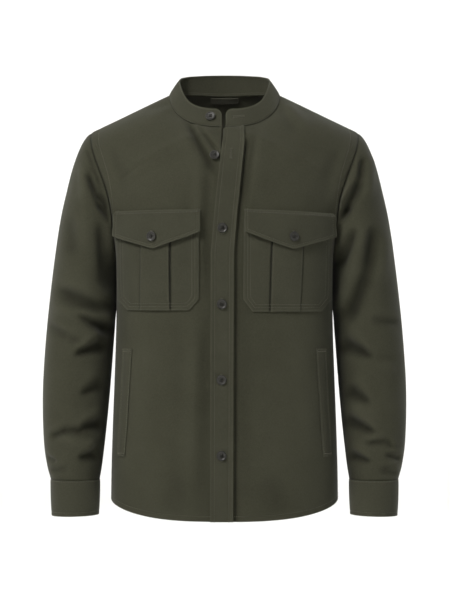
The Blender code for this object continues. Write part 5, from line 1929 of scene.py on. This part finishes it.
def build_stage():
    """A round floor of white paper that rises into a wall, soft lights and the camera."""
    look = bpy.context.scene.jacket_stage
    reach, bend, top = 7.5, 2.0, 7.0
    low = look.floor_height
    turns = np.radians(np.linspace(0, 90, 13))
    profile = [(0.0, low), (reach / 2, low)]
    profile += [(reach + bend * np.sin(t), low + bend * (1 - np.cos(t))) for t in turns]
    profile.append((reach + bend, top))
    count = 96
    points = [(0.0, 0.0, low)]
    for radius, height in profile[1:]:
        for k in range(count):
            turn = 2 * np.pi * k / count
            points.append((radius * np.cos(turn), radius * np.sin(turn), height))
    faces = [(0, 1 + k, 1 + (k + 1) % count) for k in range(count)]
    for i in range(len(profile) - 2):
        for k in range(count):
            a, b = 1 + i * count + k, 1 + i * count + (k + 1) % count
            faces.append((a, a + count, b + count, b))
    made = new_object("studio_floor", np.array(points) / MM, faces, ("studio_paper",))
    scene = bpy.context.scene
    middle = (0, 0, look.camera_height)
    lit_area("key", (-2.3, -3.1, 3.0), middle, (1.5, 1.5), look.key_power, (1.0, 0.985, 0.96))
    lit_area("fill", (3.4, -3.2, 0.6), middle, (2.6, 2.6), look.fill_power, (0.96, 0.98, 1.0))
    lit_area("top", (0.0, 1.6, 3.6), middle, (3.0, 2.0), look.top_power, (1.0, 1.0, 1.0))
    for side in (RIGHT, LEFT):
        name = "backdrop_" + SIDE_NAMES[side]
        place, aim = (side * 4.2, 3.2, 2.2), (-side * 1.0, 9.5, -0.8)
        lit_area(name, place, aim, (2.0, 2.0), look.backdrop_power, (1, 1, 1))
    world = bpy.data.worlds.new("studio")
    world.use_nodes = True
    world.node_tree.nodes["Background"].inputs["Color"].default_value = (1, 1, 1, 1)
    world.node_tree.nodes["Background"].inputs["Strength"].default_value = look.sky_strength
    scene.world = world
    scene.view_settings.view_transform = "Standard"
    data = bpy.data.cameras.new("camera")
    data.sensor_width = 36
    data.lens = data.sensor_width * look.camera_distance / look.view_height
    camera = link_object("camera", data)
    camera.location = (look.camera_side, -look.camera_distance, look.camera_height)
    camera.rotation_euler = (np.pi / 2, 0, 0)
    scene.camera = camera


def colour_setting(name, description, code):
    """A colour in the panel, from an sRGB hex value."""
    return bpy.props.FloatVectorProperty(
        name=name, description=description, subtype="COLOR", default=linear(code)
    )


def number_setting(name, description, default, unit="NONE"):
    """A number in the panel."""
    return bpy.props.FloatProperty(name=name, description=description, unit=unit, default=default)


def size_setting(name, description, default):
    """A size in the panel, in metres."""
    return number_setting(name, description, default, "LENGTH")


def power_setting(name, description, default):
    """A light's power in the panel, in watts."""
    return number_setting(name, description, default, "POWER")


class ClothSettings(bpy.types.PropertyGroup):
    """Colours and weave of the jacket's cloth."""

    body_colour: colour_setting("Body", "Twill of the fronts, back and sleeves", "#3F3F2E")
    trim_colour: colour_setting(
        "Trim", "Twill of the placket, collar, pockets, flaps, cuffs and welts", "#414132"
    )
    inside_colour: colour_setting("Inside", "Wrong side of the twill", "#5A594B")
    # Paler twill of turned edges, partly wear and partly painted highlight, and the painted highlight on
    # fold ridges.
    edge_and_highlight_colour: colour_setting("Edges", "Twill on turned edges", "#5C5C4D")
    tape_colour: colour_setting("Tape", "Hanger loop", "#57564A")
    rib_pitch: bpy.props.FloatProperty(
        name="Rib spacing",
        description="Distance between drawn ribs, in millimetres",
        default=1.3,
        min=0.3,
    )


class StitchSettings(bpy.types.PropertyGroup):
    """Sizes and colour of the sewing."""

    colour: colour_setting("Thread", "Topstitching thread", "#666556")
    spacing: size_setting("Spacing", "Distance from stitch to stitch", 3.4 * MM)
    length: size_setting("Length", "Length of a stitch", 2.0 * MM)
    thickness: size_setting("Thickness", "Thickness of the thread", 0.9 * MM)
    buttonhole: size_setting("Buttonhole", "Length of a buttonhole's slit", 17 * MM)


class ButtonSettings(bpy.types.PropertyGroup):
    """Size and colours of the buttons."""

    radius: size_setting("Radius", "Radius of a button", 8.25 * MM)
    height: size_setting("Height", "Height of a button at its rim", 3.2 * MM)
    colour: colour_setting("Resin", "Colour of the buttons", "#2B2A26")
    thread_colour: colour_setting("Thread", "Thread that holds the buttons", "#23221C")


class StageSettings(bpy.types.PropertyGroup):
    """Floor, lights and camera."""

    paper_colour: colour_setting("Paper", "Colour of the floor", "#F6F6F4")
    floor_height: size_setting("Floor", "Height of the floor", -1.45)
    key_power: power_setting("Key", "Power of the key light", 152)
    fill_power: power_setting("Fill", "Power of the fill light", 8)
    top_power: power_setting("Top", "Power of the top light", 24)
    backdrop_power: power_setting("Backdrop", "Power of each light on the backdrop", 240)
    sky_strength: number_setting("Sky", "Strength of the sky light", 0.07)
    camera_distance: size_setting("Camera distance", "Distance of the camera", 3.5)
    camera_height: size_setting("Camera height", "Height of the camera", -0.347)
    camera_side: size_setting("Camera side", "Place of the camera along X", 0.0008)
    view_height: size_setting("View height", "Height of the picture at the jacket", 1.026)


class JACKET_OT_fronts(bpy.types.Operator):
    """Builds both fronts, with their folds and sewn rows."""

    bl_idname = "jacket.fronts"
    bl_label = "Fronts"

    def execute(self, context):
        for side in (RIGHT, LEFT):
            build_front(side)
        return {"FINISHED"}


class JACKET_OT_placket(bpy.types.Operator):
    """Builds the strip down the left front."""

    bl_idname = "jacket.placket"
    bl_label = "Placket"

    def execute(self, context):
        build_placket()
        return {"FINISHED"}


class JACKET_OT_back(bpy.types.Operator):
    """Builds the back panel."""

    bl_idname = "jacket.back"
    bl_label = "Back"

    def execute(self, context):
        build_back()
        return {"FINISHED"}


class JACKET_OT_sleeves(bpy.types.Operator):
    """Builds both sleeves."""

    bl_idname = "jacket.sleeves"
    bl_label = "Sleeves"

    def execute(self, context):
        for side in (RIGHT, LEFT):
            build_sleeve(side)
        return {"FINISHED"}


class JACKET_OT_cuffs(bpy.types.Operator):
    """Builds both cuffs with their buttons."""

    bl_idname = "jacket.cuffs"
    bl_label = "Cuffs"

    def execute(self, context):
        for side in (RIGHT, LEFT):
            build_cuff(side)
        return {"FINISHED"}


class JACKET_OT_collar(bpy.types.Operator):
    """Builds the collar band with its button."""

    bl_idname = "jacket.collar"
    bl_label = "Collar band"

    def execute(self, context):
        build_collar()
        return {"FINISHED"}


class JACKET_OT_pockets(bpy.types.Operator):
    """Builds both chest pockets with their pleats."""

    bl_idname = "jacket.pockets"
    bl_label = "Chest pockets"

    def execute(self, context):
        for side in (RIGHT, LEFT):
            build_pocket(side)
        return {"FINISHED"}


class JACKET_OT_flaps(bpy.types.Operator):
    """Builds both pocket flaps with their buttons."""

    bl_idname = "jacket.flaps"
    bl_label = "Pocket flaps"

    def execute(self, context):
        for side in (RIGHT, LEFT):
            build_flap(side)
        return {"FINISHED"}


class JACKET_OT_welts(bpy.types.Operator):
    """Builds the welts of both side pockets."""

    bl_idname = "jacket.welts"
    bl_label = "Welts"

    def execute(self, context):
        for side in (RIGHT, LEFT):
            build_welt(side)
        return {"FINISHED"}


class JACKET_OT_loop(bpy.types.Operator):
    """Builds the hanger loop inside the neck."""

    bl_idname = "jacket.loop"
    bl_label = "Hanger loop"

    def execute(self, context):
        build_hanger_loop()
        return {"FINISHED"}


class JACKET_OT_buttons(bpy.types.Operator):
    """Builds the buttons of the fronts."""

    bl_idname = "jacket.buttons"
    bl_label = "Front buttons"

    def execute(self, context):
        build_front_buttons()
        return {"FINISHED"}


class JACKET_OT_sewing(bpy.types.Operator):
    """Lays the topstitching and the buttonholes along the rows that the pieces left."""

    bl_idname = "jacket.sewing"
    bl_label = "Sewing"

    def execute(self, context):
        if not SEWN_ROWS:
            raise RuntimeError("the pieces come before their sewing")
        build_topstitching()
        build_buttonholes()
        return {"FINISHED"}


class JACKET_OT_stage(bpy.types.Operator):
    """Sets up the floor, the lights and the camera."""

    bl_idname = "jacket.stage"
    bl_label = "Stage"

    def execute(self, context):
        build_stage()
        return {"FINISHED"}


OPERATORS = (
    JACKET_OT_fronts,
    JACKET_OT_placket,
    JACKET_OT_back,
    JACKET_OT_collar,
    JACKET_OT_loop,
    JACKET_OT_sleeves,
    JACKET_OT_cuffs,
    JACKET_OT_pockets,
    JACKET_OT_flaps,
    JACKET_OT_welts,
    JACKET_OT_buttons,
    JACKET_OT_sewing,
    JACKET_OT_stage,
)
SETTINGS = {
    "jacket_cloth": ClothSettings,
    "jacket_stitches": StitchSettings,
    "jacket_buttons": ButtonSettings,
    "jacket_stage": StageSettings,
}


class JACKET_PT_pieces(bpy.types.Panel):
    """The jacket's pieces and settings."""

    bl_label = "Jacket"
    bl_idname = "JACKET_PT_pieces"
    bl_space_type = "VIEW_3D"
    bl_region_type = "UI"
    bl_category = "Jacket"

    def draw(self, context):
        for kind in OPERATORS:
            self.layout.operator(kind.bl_idname)
        for name in SETTINGS:
            box = self.layout.box()
            values = getattr(context.scene, name)
            for key in values.__annotations__:
                box.prop(values, key)


def register():
    for kind in (*SETTINGS.values(), *OPERATORS, JACKET_PT_pieces):
        bpy.utils.register_class(kind)
    for name, kind in SETTINGS.items():
        setattr(bpy.types.Scene, name, bpy.props.PointerProperty(type=kind))


def unregister():
    for name in SETTINGS:
        delattr(bpy.types.Scene, name)
    for kind in (JACKET_PT_pieces, *OPERATORS[::-1], *SETTINGS.values()):
        bpy.utils.unregister_class(kind)


def main():
    register()
    for kind in OPERATORS:
        getattr(bpy.ops.jacket, kind.bl_idname.split(".")[1])()


if __name__ == "__main__":
    main()
